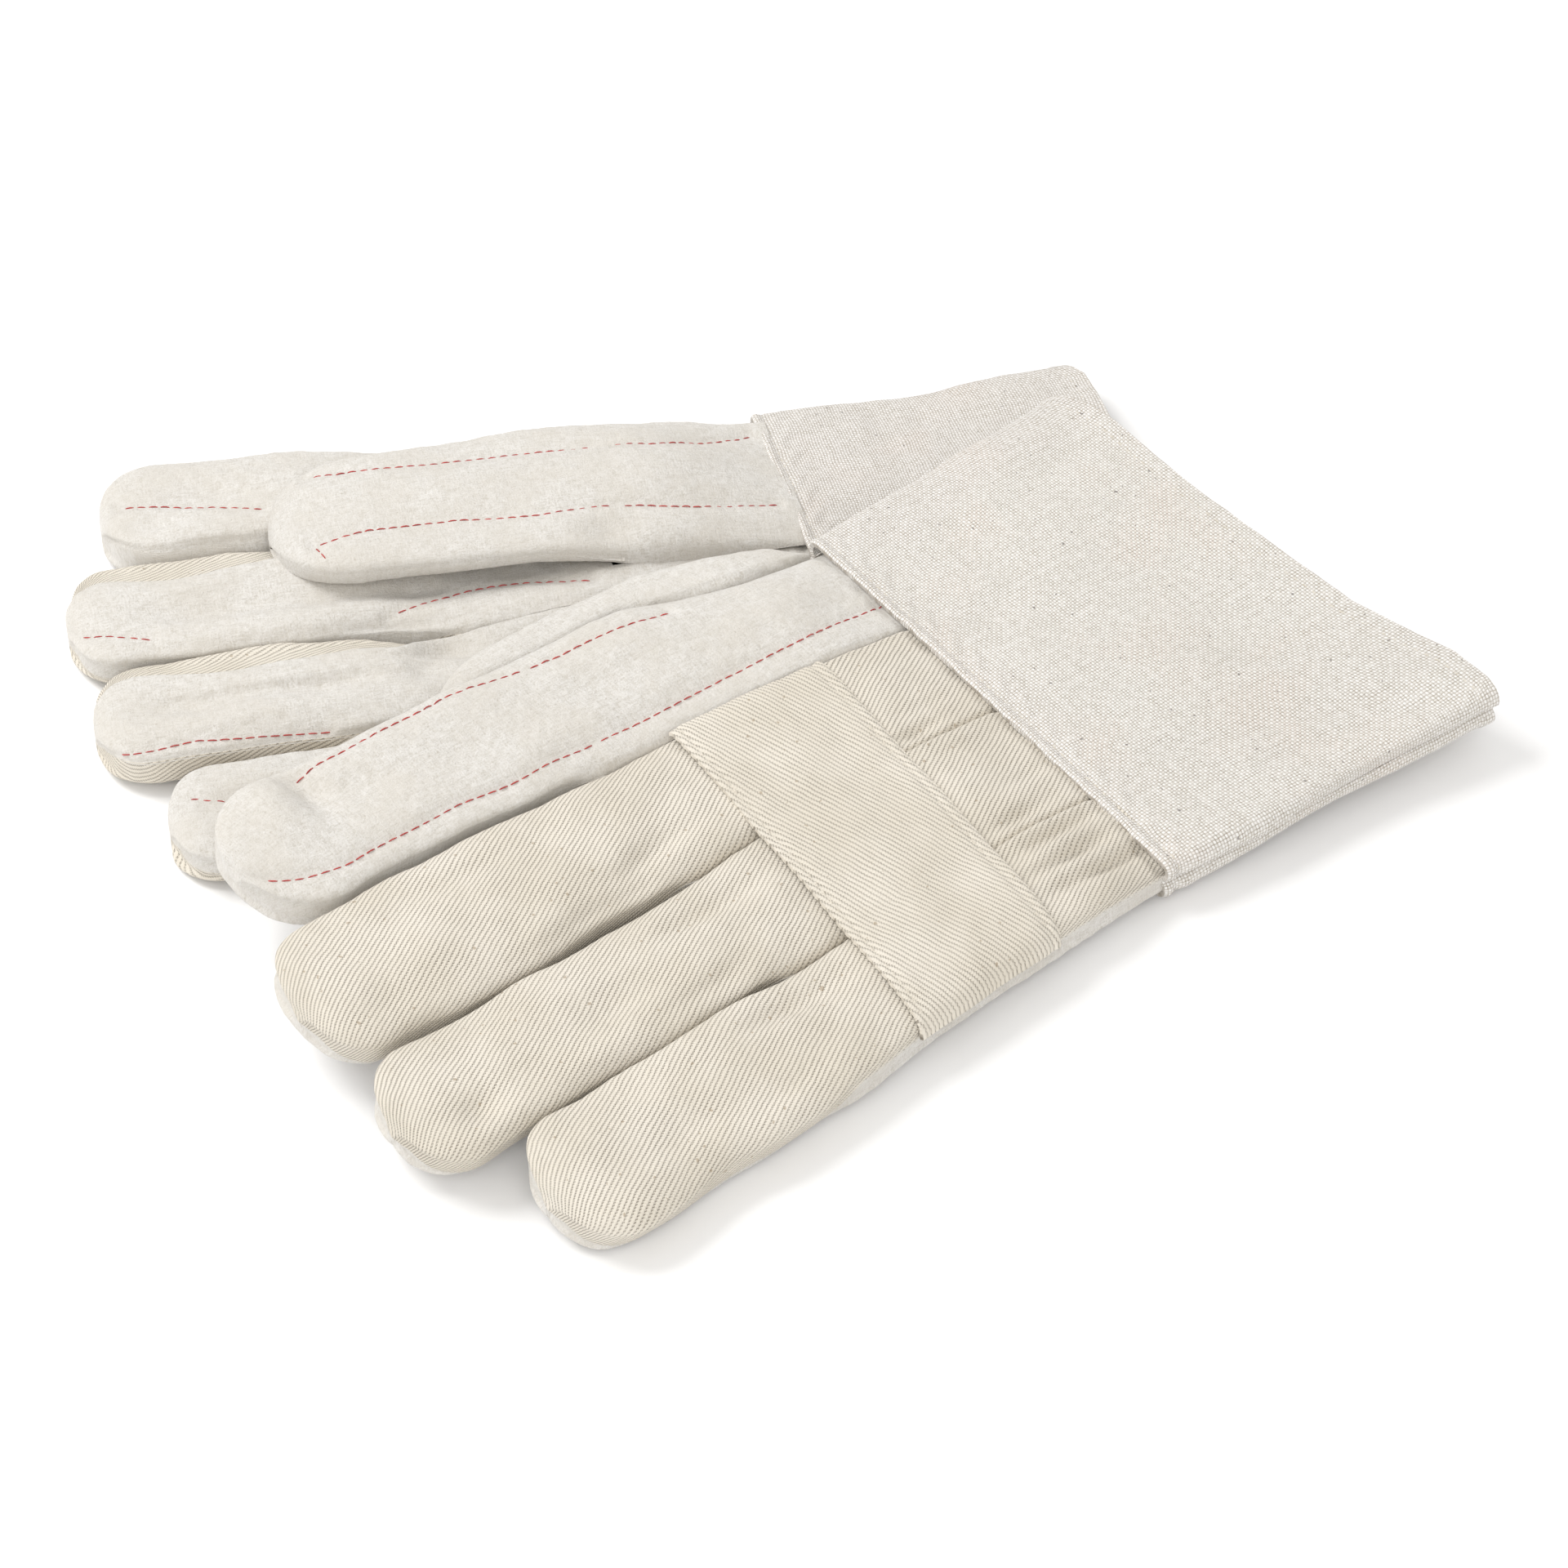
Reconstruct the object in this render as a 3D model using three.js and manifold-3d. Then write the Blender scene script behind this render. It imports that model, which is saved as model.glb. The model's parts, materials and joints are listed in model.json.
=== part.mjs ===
// A pair of heavy cotton gauntlet gloves, lying one across the other: the right glove palm up on
// the table, the left glove back up on top of it. Millimetres, +Z up.
//
// Each glove is drawn flat in its own frame: x runs from the wrist seam (x = 0) to the fingertips,
// y runs from the index side (negative) to the little-finger side (positive), and z is height.
// One flat hollow shell is cut along the sewn seams into its cloth pieces, and the fingers that
// bend are cut off at their bend lines.
import * as THREE from 'three';
import { mergeVertices } from 'three/addons/utils/BufferGeometryUtils.js';
import Module from 'manifold-3d';

const wasm = await Module();
wasm.setup();

// Cloth
const FLEECE = 2.2; // palm side wall
const TWILL = 3.4; // back wall
const DUCK = 1.8; // gauntlet wall
const LINING = 1.2;
const STRAP = 2;
const GAP = 0.4; // clearance along every seam
const BEND_GAP = 0.6; // clearance across every bend line
const EDGE_ROUND = 5.5; // outer edges
const SPACE_ROUND = 3; // inner edges
const FULL_ROUND = 0.42; // edge radius of thumbs and gauntlets, as a share of their height

// Hand
const WRIST_INDEX_SIDE = -66;
const WRIST_LITTLE_SIDE = 75;
const KNUCKLE_INDEX_SIDE = -78.8;
const KNUCKLE_LITTLE_SIDE = 82.6;
const CROTCH = 104; // where the fingers part
const FINGER_ROOT = CROTCH - 12; // where the fingers' own outlines start, inside the palm

// Fingers, from the index side: centre line at the crotch and at the tip, and half the width
const FINGERS = [
  { name: 'index', root: -57.5, end: -61, half: 21.3, tip: 193 },
  { name: 'middle', root: -14.6, end: -17.8, half: 20.3, tip: 205 },
  { name: 'ring', root: 25.4, end: 28, half: 18.2, tip: 208 },
  { name: 'little', root: 63.7, end: 66, half: 18.9, tip: 193 },
];
const FINGER_SEAMS = [-28, 8, 47]; // where the seams between the fingers meet the wrist

// Knuckle strap: its two long edges, on the index side and on the little-finger side
const STRAP_EDGES = { indexSide: [32, 80], littleSide: [41, 90], from: -29, to: 76 };

// Gauntlet
const MOUTH = { indexSide: [-97, -70], littleSide: [-104, 86] };
const CUFF_WRIST = [-68, 75];

// Thumbs. The right one lies on its palm, full; the left one is pressed flat under its palm.
const RIGHT_THUMB = {
  root: -31, end: -37, rootHalf: 34, endHalf: 26, bend: 62, tip: 148, thick: 12.5, hollow: true,
};
const LEFT_THUMB = {
  root: -57, end: -64, rootHalf: 20, endHalf: 27, bend: 62, tip: 118, thick: 6, hollow: false,
};
const THUMB_HOLE = [22, -58, 56, -8];

// How the two gloves lie: their heights include both walls and the space between, the bends are
// one for each finger, and the left gauntlet rises from the wrist to clear the right one
const RIGHT_GLOVE = {
  side: 'right',
  palmUp: true,
  handHeight: 13,
  cuffHeight: 10,
  cuffRise: 0,
  bends: [152, 152, 114, 114],
  thumb: RIGHT_THUMB,
};
const LEFT_GLOVE = {
  side: 'left',
  palmUp: false,
  handHeight: 15,
  cuffHeight: 12,
  cuffRise: 4,
  bends: [106, 106, 106, 106],
  thumb: LEFT_THUMB,
};
const LEFT_TURN = 205.7; // degrees about Z
const RIGHT_TURN = 180;
const LEFT_TILT = -9.5; // degrees: its index side rests on the right glove
const LEFT_PLACE = [22.3, -81.7, 13.6];

const MATERIALS = {
  fleece: { color: 0xe6e1d9, roughness: 0.95, metalness: 0 },
  twill: { color: 0xd8cdb8, roughness: 0.9, metalness: 0 },
  duck: { color: 0xdcd6ca, roughness: 0.88, metalness: 0 },
  lining: { color: 0xddd6c8, roughness: 0.92, metalness: 0 },
};

// Solids

function toSolid(geometry) {
  geometry.deleteAttribute('normal');
  geometry.deleteAttribute('uv');
  const merged = mergeVertices(geometry, 1e-4);
  return new wasm.Manifold(new wasm.Mesh({
    numProp: 3,
    vertProperties: new Float32Array(merged.attributes.position.array),
    triVerts: new Uint32Array(merged.index.array),
  }));
}

function toGeometry(solid) {
  const mesh = solid.getMesh();
  const geometry = new THREE.BufferGeometry();
  geometry.setAttribute('position', new THREE.BufferAttribute(mesh.vertProperties, 3));
  geometry.setIndex(new THREE.BufferAttribute(mesh.triVerts, 1));
  geometry.computeVertexNormals();
  return geometry;
}

// A flat slab between two heights, with its upper and lower edges rounded
function slab(shape, [bottom, top], round = 0) {
  const geometry = new THREE.ExtrudeGeometry(shape, {
    depth: top - bottom - 2 * round,
    bevelEnabled: round > 0,
    bevelThickness: round,
    bevelSize: round,
    bevelOffset: -round,
    bevelSegments: 3,
    curveSegments: 7,
  });
  geometry.translate(0, 0, bottom + round);
  return toSolid(geometry);
}

function polygon(points) {
  return new THREE.Shape(points.map(([x, y]) => new THREE.Vector2(x, y)));
}

const ANYWHERE = [-60, 60];

function between(x0, x1) {
  return slab(polygon([[x0, -200], [x1, -200], [x1, 200], [x0, 200]]), ANYWHERE);
}

// A sheath seen from above: straight sides that may taper, and a round end
function sheathOutline({ root, end, rootHalf, endHalf, tip }, start, inset) {
  const half = endHalf - inset;
  const reach = tip - inset;
  const turn = reach - endHalf * 0.95;
  const shape = new THREE.Shape();
  shape.moveTo(start, root - rootHalf + inset);
  shape.lineTo(turn, end - half);
  shape.absellipse(turn, end, reach - turn, half, -Math.PI / 2, Math.PI / 2, false, 0);
  shape.lineTo(start, root + rootHalf - inset);
  return shape;
}

function fingerOutline(finger, inset) {
  return sheathOutline({ ...finger, rootHalf: finger.half, endHalf: finger.half }, FINGER_ROOT, inset);
}

function palmOutline(start, inset) {
  return polygon([
    [start, WRIST_INDEX_SIDE + inset],
    [70, KNUCKLE_INDEX_SIDE + inset],
    [CROTCH - inset, KNUCKLE_INDEX_SIDE + inset],
    [CROTCH - inset, KNUCKLE_LITTLE_SIDE - inset],
    [60, KNUCKLE_LITTLE_SIDE - 3 - inset],
    [start, WRIST_LITTLE_SIDE - inset],
  ]);
}

function handBlock(start, inset, heights, round) {
  return FINGERS.reduce(
    (block, finger) => block.add(slab(fingerOutline(finger, inset), heights, round)),
    slab(palmOutline(start, inset), heights, round),
  );
}

// Heights of a layer measured in from the palm face or from the back face of a glove
function layer(glove, face, from, to, height = glove.handHeight) {
  const fromTop = (face === 'palm') === glove.palmUp;
  return fromTop ? [height - to, height - from] : [from, to];
}

function halfSpace(glove, face, height = glove.handHeight) {
  const wide = polygon([[-200, -200], [300, -200], [300, 200], [-200, 200]]);
  return slab(wide, layer(glove, face, -20, height / 2 - GAP / 2, height));
}

// A seam between two fingers, from behind the wrist to beyond the tips; the outermost two stay wide
function seamLine(k) {
  if (k === 0 || k === FINGERS.length) {
    const outside = k === 0 ? -200 : 200;
    return [[-20, outside], [230, outside]];
  }
  const [near, next] = [FINGERS[k - 1], FINGERS[k]];
  const atRoot = (near.root + near.half + next.root - next.half) / 2;
  const atEnd = (near.end + near.half + next.end - next.half) / 2;
  return [[-20, FINGER_SEAMS[k - 1]], [FINGER_ROOT, atRoot], [180, atEnd], [230, atEnd]];
}

// Everything between two finger seams
function rows(first, last, gap = GAP) {
  const low = seamLine(first).map(([x, y]) => [x, y + gap / 2]);
  const high = seamLine(last + 1).map(([x, y]) => [x, y - gap / 2]);
  return slab(polygon([...low, ...high.reverse()]), ANYWHERE);
}

function strapOutline(margin) {
  const { indexSide, littleSide, from, to } = STRAP_EDGES;
  return polygon([
    [indexSide[0] - margin, from - margin],
    [indexSide[1] + margin, from - margin],
    [littleSide[1] + margin, to + margin],
    [littleSide[0] - margin, to + margin],
  ]);
}

function pieceMesh(name, solid, cloth) {
  const mesh = new THREE.Mesh(toGeometry(solid), new THREE.MeshStandardMaterial(MATERIALS[cloth]));
  mesh.name = name;
  return mesh;
}

// Hand and fingers

function handShell(glove) {
  const { handHeight } = glove;
  const space = layer(glove, 'palm', FLEECE, handHeight - TWILL);
  const shell = handBlock(GAP, 0, [0, handHeight], EDGE_ROUND)
    .subtract(handBlock(-10, FLEECE, space, SPACE_ROUND));
  return glove.thumb.hollow ? shell.subtract(thumbHole(glove, 0)) : shell;
}

function handPieces(glove) {
  const { side, bends } = glove;
  const shell = handShell(glove);
  const palmHalf = halfSpace(glove, 'palm');
  const backHalf = halfSpace(glove, 'back');
  const pocket = slab(strapOutline(GAP), layer(glove, 'back', -5, STRAP + GAP));
  const pieces = [];
  let palm = shell.intersect(palmHalf).intersect(rows(1, 3));
  FINGERS.forEach((finger, k) => {
    const row = shell.intersect(rows(k, k));
    const hand = row.intersect(between(-20, bends[k] - BEND_GAP / 2));
    const tip = row.intersect(between(bends[k] + BEND_GAP / 2, 300));
    palm = palm.subtract(rows(k, k, 0).intersect(between(bends[k] - BEND_GAP / 2, 300)));
    const name = `${side}_${finger.name}`;
    if (k === 0) {
      pieces.push(pieceMesh(`${name}_wrap`, hand, 'fleece'));
      pieces.push(pieceMesh(`${name}_finger`, tip, 'fleece'));
      return;
    }
    pieces.push(pieceMesh(`${name}_back_strip`, hand.intersect(backHalf).subtract(pocket), 'twill'));
    pieces.push(pieceMesh(`${name}_finger_back`, tip.intersect(backHalf), 'twill'));
    pieces.push(pieceMesh(`${name}_finger_palm`, tip.intersect(palmHalf), 'fleece'));
  });
  pieces.push(pieceMesh(`${side}_palm_panel`, palm, 'fleece'));
  pieces.push(pieceMesh(`${side}_palm_lining`, palmLining(glove), 'lining'));
  const strap = slab(strapOutline(0), layer(glove, 'back', 0, STRAP));
  pieces.push(pieceMesh(`${side}_knuckle_strap`, strap, 'twill'));
  return pieces;
}

// The inner cloth of the double palm, between the index wrap and the little-finger seam
function palmLining(glove) {
  const outline = polygon([
    [4, FINGER_SEAMS[0] + 4],
    [CROTCH - 8, FINGER_SEAMS[0]],
    [CROTCH - 8, KNUCKLE_LITTLE_SIDE - 8],
    [4, WRIST_LITTLE_SIDE - 8],
  ]);
  const lining = slab(outline, layer(glove, 'palm', FLEECE + GAP, FLEECE + GAP + LINING));
  return glove.thumb.hollow ? lining.subtract(thumbHole(glove, GAP)) : lining;
}

// Thumb

function thumbHole(glove, margin) {
  const [x0, y0, x1, y1] = THUMB_HOLE;
  const hole = polygon([
    [x0 - margin, y0 - margin],
    [x1 + margin, y0 - margin],
    [x1 + margin, y1 + margin],
    [x0 - margin, y1 + margin],
  ]);
  return slab(hole, layer(glove, 'palm', -5, glove.handHeight / 2));
}

function thumbPieces({ side, palmUp, handHeight, thumb }) {
  const { thick, bend, hollow } = thumb;
  const bottom = palmUp ? handHeight + GAP : -GAP - thick;
  const middle = bottom + thick / 2;
  const block = slab(sheathOutline(thumb, GAP, 0), [bottom, bottom + thick], thick * FULL_ROUND);
  const space = slab(sheathOutline(thumb, 6, FLEECE), [bottom + FLEECE, bottom + thick - FLEECE], 2);
  const floor = slab(sheathOutline(thumb, 6, FLEECE), [bottom - 1, middle]);
  const base = block.intersect(between(-20, bend - BEND_GAP / 2));
  const free = block.intersect(between(bend + BEND_GAP / 2, 300));
  const shellBase = hollow ? base.subtract(space.add(floor)) : base;
  const shellFree = hollow ? free.subtract(space) : free;
  const upper = shellFree.trimByPlane([0, 0, 1], middle + GAP / 2);
  const lower = shellFree.trimByPlane([0, 0, -1], -(middle - GAP / 2));
  return [
    pieceMesh(`${side}_thumb_base`, shellBase, 'fleece'),
    pieceMesh(`${side}_thumb_outer`, palmUp ? upper : lower, 'fleece'),
    pieceMesh(`${side}_thumb_inner`, palmUp ? lower : upper, 'fleece'),
  ];
}

// Gauntlet

function cuffOutline(start, end, inset) {
  return polygon([
    [start, CUFF_WRIST[0] + inset],
    [start, CUFF_WRIST[1] - inset],
    [MOUTH.littleSide[0] + end, MOUTH.littleSide[1] - inset],
    [MOUTH.indexSide[0] + end, MOUTH.indexSide[1] + inset],
  ]);
}

function cuffPieces(glove) {
  const height = glove.cuffHeight;
  const block = slab(cuffOutline(-GAP, 0, 0), [0, height], height * FULL_ROUND);
  const space = slab(cuffOutline(10, -20, DUCK), [DUCK, height - DUCK], SPACE_ROUND - 0.5);
  const shell = block.subtract(space);
  const group = new THREE.Group();
  group.rotation.y = THREE.MathUtils.degToRad(glove.cuffRise);
  for (const face of ['palm', 'back']) {
    const panel = shell.intersect(halfSpace(glove, face, height));
    group.add(pieceMesh(`${glove.side}_cuff_${face}`, panel, 'duck'));
  }
  return group;
}

// The pair

function gloveFlat(glove) {
  const group = new THREE.Group();
  group.add(...handPieces(glove), ...thumbPieces(glove), cuffPieces(glove));
  return group;
}

function turned(child, degrees) {
  const group = new THREE.Group();
  group.rotation.z = THREE.MathUtils.degToRad(degrees);
  group.add(child);
  return group;
}

const rightGlove = turned(gloveFlat(RIGHT_GLOVE), RIGHT_TURN);

const leftFlat = gloveFlat(LEFT_GLOVE);
leftFlat.rotation.x = THREE.MathUtils.degToRad(LEFT_TILT);
const leftGlove = turned(leftFlat, LEFT_TURN);
leftGlove.position.set(...LEFT_PLACE);

const pair = new THREE.Group();
pair.add(rightGlove, leftGlove);

// The origin is the bottom centre of the pair's box
const extent = new THREE.Box3().setFromObject(pair, true);
const centre = extent.getCenter(new THREE.Vector3());
pair.position.set(-centre.x, -centre.y, -extent.min.z);

const gloves = new THREE.Group();
gloves.name = 'gauntlet_gloves';
gloves.add(pair);

export default gloves;
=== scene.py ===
"""A pair of quilted cotton gauntlet gloves: the right one lies palm up, the left one lies on it."""

import json
import math

import bpy
import numpy as np
from mathutils import Matrix, Vector


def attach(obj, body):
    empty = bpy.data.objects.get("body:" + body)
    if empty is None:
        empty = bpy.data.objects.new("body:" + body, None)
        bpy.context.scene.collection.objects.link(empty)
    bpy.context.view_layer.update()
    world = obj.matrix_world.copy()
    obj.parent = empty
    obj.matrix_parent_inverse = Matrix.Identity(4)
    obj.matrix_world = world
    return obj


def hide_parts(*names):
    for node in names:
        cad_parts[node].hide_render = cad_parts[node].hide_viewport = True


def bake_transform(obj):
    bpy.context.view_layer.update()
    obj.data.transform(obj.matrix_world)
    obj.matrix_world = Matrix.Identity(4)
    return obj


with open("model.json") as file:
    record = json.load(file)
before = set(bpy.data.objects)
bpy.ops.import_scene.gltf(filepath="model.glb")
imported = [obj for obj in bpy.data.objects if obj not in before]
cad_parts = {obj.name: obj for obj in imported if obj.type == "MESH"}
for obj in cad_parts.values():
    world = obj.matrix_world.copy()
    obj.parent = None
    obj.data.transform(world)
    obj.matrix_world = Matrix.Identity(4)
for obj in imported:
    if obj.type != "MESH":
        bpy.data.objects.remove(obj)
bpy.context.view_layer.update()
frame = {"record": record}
JOINTS = {joint["name"]: joint for joint in frame["record"]["behaviour"]["joints"]}
MM = 0.001

# ---- The flat pattern, in millimetres: x runs from the wrist seam to the fingertips, y from the
# index side (negative) to the little-finger side, and z is height above the glove's underside.

FINGERS = [
    {"name": "index", "tip": 193.5, "round": 20.0},
    {"name": "middle", "tip": 206.5, "round": 15.0},
    {"name": "ring", "tip": 209.0, "round": 17.0},
    {"name": "little", "tip": 193.0, "round": 16.0},
]
INDEX, MIDDLE, RING, LITTLE = range(4)
CROTCH = 104.0  # the fingers part here
FINGER_FREE = 124.0  # and past this a finger's side seams are all its own
OWN_SHAPE = (CROTCH - 6, 122)  # the hand's section turns into the finger's between these
OWN_HEIGHT = (CROTCH, 140)
HAND_RISE = (0, 26)  # from the wrist's height to the hand's
DROOP_SPAN = (60, 200)  # a finger droops along these
FINGER_GAP = 0.3
FINGER_GAP_SPAN = (CROTCH, 118)
HAND_SECTION = (0.94, 0.62)  # powers of a flattened round section, across and up: see section()
FINGER_SECTION = (0.86, 0.54)
HALF_ROUND = 90.0  # degrees from the top of a section to its side
SEAM_DEPTH = 1.6  # where two cloths meet, both lie this far inside their smooth shape
SEAM_WIDTH = 1.05
CUFF_OVERLAP = 2.6  # the gauntlet's folded edge lies this far over the hand
TIP_POWER = 2.4  # above 2, the end is blunter than an ellipse
TIP_FLATTENING = 0.42  # towards its tip a finger gets thinner by this power of its width
TIP_DROP_POWER = 1.3
TIP_SEAMS = 0.7  # with less than this share of its width left, the seams go back to the sides
VALLEYS = {True: (0.55, 1.15), False: (0.8, 0.9)}  # top and bottom: depth of a seam, profile power
INDEX_VALLEYS = {True: (0.8, 1.2), False: (0.8, 0.9)}
SEAMLESS_VALLEY = (0.4, 2.0)
CROTCH_DEEPENING = (66, CROTCH)  # valleys go down to the middle of the hand along these
CROTCH_STEEPENING = (60, 100)
DEEPENING_POWER, STEEP_POWER = 1.6, 0.72
UNDER_END = (90, 102)  # the hollow of the underside runs out here
ROW_STEP = 1.5
COLUMNS = 40
THUMB_COLUMNS = 34
CLOTH = 1.2  # the thickness of the fleece and the twill, and of the other cloths next
LINING_CLOTH = 0.7
STRAP_CLOTH = 0.95
DUCK_CLOTH = 1.25
BEND_LEAD = 8.0  # a bending piece starts about this far before its bend line
BEND_REACH = 27.0  # and reaches this far past it

# "turn" and "tilt" lay a glove down, in degrees, and "rise" tips its gauntlet up. "hand", "wrist"
# and "finger" are heights, and "under" is how far the underside is hollow. "cuff_top" and
# "cuff_bottom" are heights at the gauntlet's start, middle and mouth, "cuff_sides" its edges at the
# start and at the mouth, and "mouth" the line of its open end, as y and x lists. "cuts" are where
# the pieces of a finger end on the hand. "known" names a joint, and gives that joint's place in
# the pattern. "lines" are the five edges of the four strips, from the index side to the
# little-finger side, as x and y lists. "seams" are the angles round a finger, from its top, at
# which the upper and lower cloth meet on its two sides; "little_seam" is that angle on the hand's
# outer edge; "climb" says where the first of a finger's seams climbs, over what length, and how
# far. "opening" is where, over what length and how wide the middle and ring fingers stand apart.
# "reach" lengthens a finger, "droop" lowers its end, and "tip_drop" is how far the seam at a
# fingertip lies below the middle of the finger's height. "finger_body" names each finger's body.
NO_CLIMB = [(150, 20, 0)] * 4
GLOVES = {
    "right": {
        "side": "right", "turn": 180.0, "tilt": 0.0, "palm_up": True, "rise": 0.0,
        "hand": 13.2, "wrist": 11.2, "finger": [18.4, 16.4, 16.0, 15.4], "under": 1.5,
        "cuff_top": (14.4, 10.4, 11.2), "cuff_bottom": (0.0, 0.0, 0.0),
        "cuff_sides": ((-69.5, 76.0), (-77.0, 86.5)),
        "mouth": ([-77, -74, -69, -60, 8, 55, 88], [-93, -97, -99.5, -100, -98, -99, -99]),
        "cuts": [144.0, 144.0, 106.5, 106.5], "known": ("right_ring_bend", (114, 26, 13)),
        "lines": [
            ([0, 30, 70, 104, 150, 190], [-69.5, -76.0, -79.5, -80.0, -84.0, -85.5]),
            ([0, 92, 104, 150, 190], [-28.0, -35.9, -37.0, -40.5, -42.5]),
            ([0, 92, 125, 150, 195], [8.0, 5.6, 5.5, 3.0, 1.5]),
            ([0, 92, 104, 150, 200], [47.0, 45.7, 46.3, 45.3, 44.5]),
            ([0, 60, 104, 150, 190], [75.0, 79.6, 83.0, 85.5, 87.0]),
        ],
        "seams": [(-92, 72), (-44, 98), (-44, 78), (-62, 96)], "little_seam": 92,
        "climb": [(150, 20, 0), (174, 22, 17), (166, 26, 16), (150, 20, 0)],
        "opening": (121, 9, 1.3), "reach": [-1.5, 0.0, -4.5, -2.5], "droop": [0.0, 0.0, 0.0, 0.0],
        "tip_drop": 3.0,
        "finger_body": ["right_index", "right_middle", "right_ring", "right_hand"],
    },
    "left": {
        "side": "left", "turn": 205.7, "tilt": -9.5, "palm_up": False, "rise": 4.0,
        "hand": 15.4, "wrist": 12.8, "finger": [17.2, 16.6, 16.6, 16.2], "under": 0.0,
        "cuff_top": (14.2, 12.6, 13.6), "cuff_bottom": (-1.2, 0.0, -0.4),
        "cuff_sides": ((-68.5, 74.8), (-71.0, 84.0)),
        "mouth": ([-71, -67, -61, -52, -26, 8, 37, 55, 66, 78, 84],
                  [-85, -90, -93.2, -94.5, -93.8, -95.5, -99.0, -105, -109, -109.5, -108]),
        "cuts": [97.5, 97.5, 97.5, 97.5], "known": ("left_ring_bend", (106, 25.5, 15)),
        "lines": [
            ([0, 28, 47, 62, 104, 193], [-64.5, -66.5, -72.0, -77.6, -79.2, -82.0]),
            ([0, 32, 80, 104, 125, 164, 200], [-28.5, -30.0, -32.8, -34.8, -36.0, -38.0, -38.8]),
            ([0, 92, 111, 140, 165, 200], [7.5, 6.0, 6.8, 7.0, 6.6, 5.6]),
            ([0, 40, 92, 122, 160, 195], [44.5, 44.0, 44.2, 43.6, 44.0, 44.2]),
            ([0, 60, 86, 104, 125, 170], [74.2, 76.2, 78.2, 80.4, 82.0, 83.4]),
        ],
        "seams": [(-90, 96), (-90, 106), (-90, 108), (-88, 108)], "little_seam": 83,
        "climb": NO_CLIMB,
        "opening": (121, 9, 0.0), "reach": [1.0, 0.0, 0.0, 0.0], "droop": [4.5, 5.0, 4.0, 1.5],
        "tip_drop": 0.2,
        "finger_body": ["left_index", "left_middle", "left_ring", "left_little"],
    },
}


def rotation(glove):
    turn = Matrix.Rotation(math.radians(glove["turn"]), 3, "Z")
    return turn @ Matrix.Rotation(math.radians(glove["tilt"]), 3, "X")


for glove in GLOVES.values():
    joint, local = glove["known"]
    glove["matrix"] = np.array(rotation(glove))
    glove["origin"] = np.array(Vector(JOINTS[joint]["pos_m"]) - rotation(glove) @ Vector(local) * MM)

FLOOR = 0.4 * MM  # the cloth's outer face settles this far above the table
FLOOR_SOFTNESS = 0.6 * MM
STIFF = 20  # above this, the soft floor has no effect


def to_row(glove, points):
    """Flat-pattern millimetres to metres in the row frame, and never below the table."""
    row = np.asarray(points, dtype=float) @ glove["matrix"].T * MM + glove["origin"]
    over = (row[..., 2] - FLOOR) / FLOOR_SOFTNESS
    soft = np.log1p(np.exp(np.minimum(over, STIFF)))
    row[..., 2] = FLOOR + FLOOR_SOFTNESS * np.where(over > STIFF, over, soft)
    return row


# ---- Shape functions


def ease(low, high, x):
    t = np.clip((x - low) / (high - low), 0, 1)
    return t * t * (3 - 2 * t)


def bell(x, centre, width):
    return np.exp(-(((x - centre) / width) ** 2))


def ripple(x, y, seed, length, stretch=1.0, angle=0.0, count=12):
    """A smooth random field of about unit height, with waves of about this length."""
    rng = np.random.default_rng(seed)
    c, s = math.cos(math.radians(angle)), math.sin(math.radians(angle))
    u, v = (x * c + y * s) / stretch, -x * s + y * c
    total = np.zeros(np.broadcast(x, y).shape)
    for _ in range(count):
        heading = rng.uniform(0, 2 * math.pi)
        wave = 2 * math.pi / (length * rng.uniform(0.6, 1.7))
        total += np.sin(wave * (u * math.cos(heading) + v * math.sin(heading)) + rng.uniform(0, 7))
    return total / math.sqrt(count)


def dome(t, power):
    """1 at the middle of a width and 0 at its edges; a low power gives steep edges."""
    return np.clip(1 - (2 * t - 1) ** 2, 0, 1) ** (power / 2)


def seam_y(glove, k, x):
    """The edge before strip k; neighbouring strips share it, so that fingers lie close."""
    wander = 0.4 * np.sin(x / 10.0 + 2.1 * k) + 0.25 * np.sin(x / 4.7 + k)
    return np.interp(x, *glove["lines"][k]) + wander * ease(106, 126, x)


def finger_tip(glove, k):
    return FINGERS[k]["tip"] + glove["reach"][k]


def point(x, y, z):
    return np.stack([x + 0 * y, y, z], axis=-1)


def rounding(x, tip, length, power):
    """The share of a width that is left near a round end."""
    gone = np.clip((x - tip + length) / length, 0, 1)
    return np.clip(1 - gone**power, 0, 1) ** (1 / power)


def strip_outline(glove, k, s):
    """x, both edges and how much of its width is left, at a length s along the strip."""
    tip, length = finger_tip(glove, k), FINGERS[k]["round"]
    turn = tip - length
    x = np.minimum(s, turn) + length * np.sin(np.clip((s - turn) / length, 0, math.pi / 2))
    gap = FINGER_GAP / 2 * ease(*FINGER_GAP_SPAN, x)
    at, reach, width = glove["opening"]
    opening = width * bell(x, at, reach)
    low = seam_y(glove, k, x) + gap + (opening if k == RING else 0)
    high = seam_y(glove, k + 1, x) - gap - (opening if k == MIDDLE else 0)
    left = rounding(x, tip, length, TIP_POWER)
    middle, half = (low + high) / 2, (high - low) / 2
    return x, middle - half * left, middle + half * left, left


def strip_end(glove, k):
    length = FINGERS[k]["round"]
    return finger_tip(glove, k) - length + length * math.pi / 2


def length_at(x, tip, length):
    """The length along a finger or thumb at x, the other way round from the outlines."""
    turn = tip - length
    return np.where(x > turn, turn + length * np.arcsin(np.clip((x - turn) / length, 0, 1)), x)


def one_cloth(glove, k, top):
    """Whether the cloth runs on without a seam across the edge before strip k."""
    return k in (RING, LITTLE) and top == glove["palm_up"]


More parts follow.
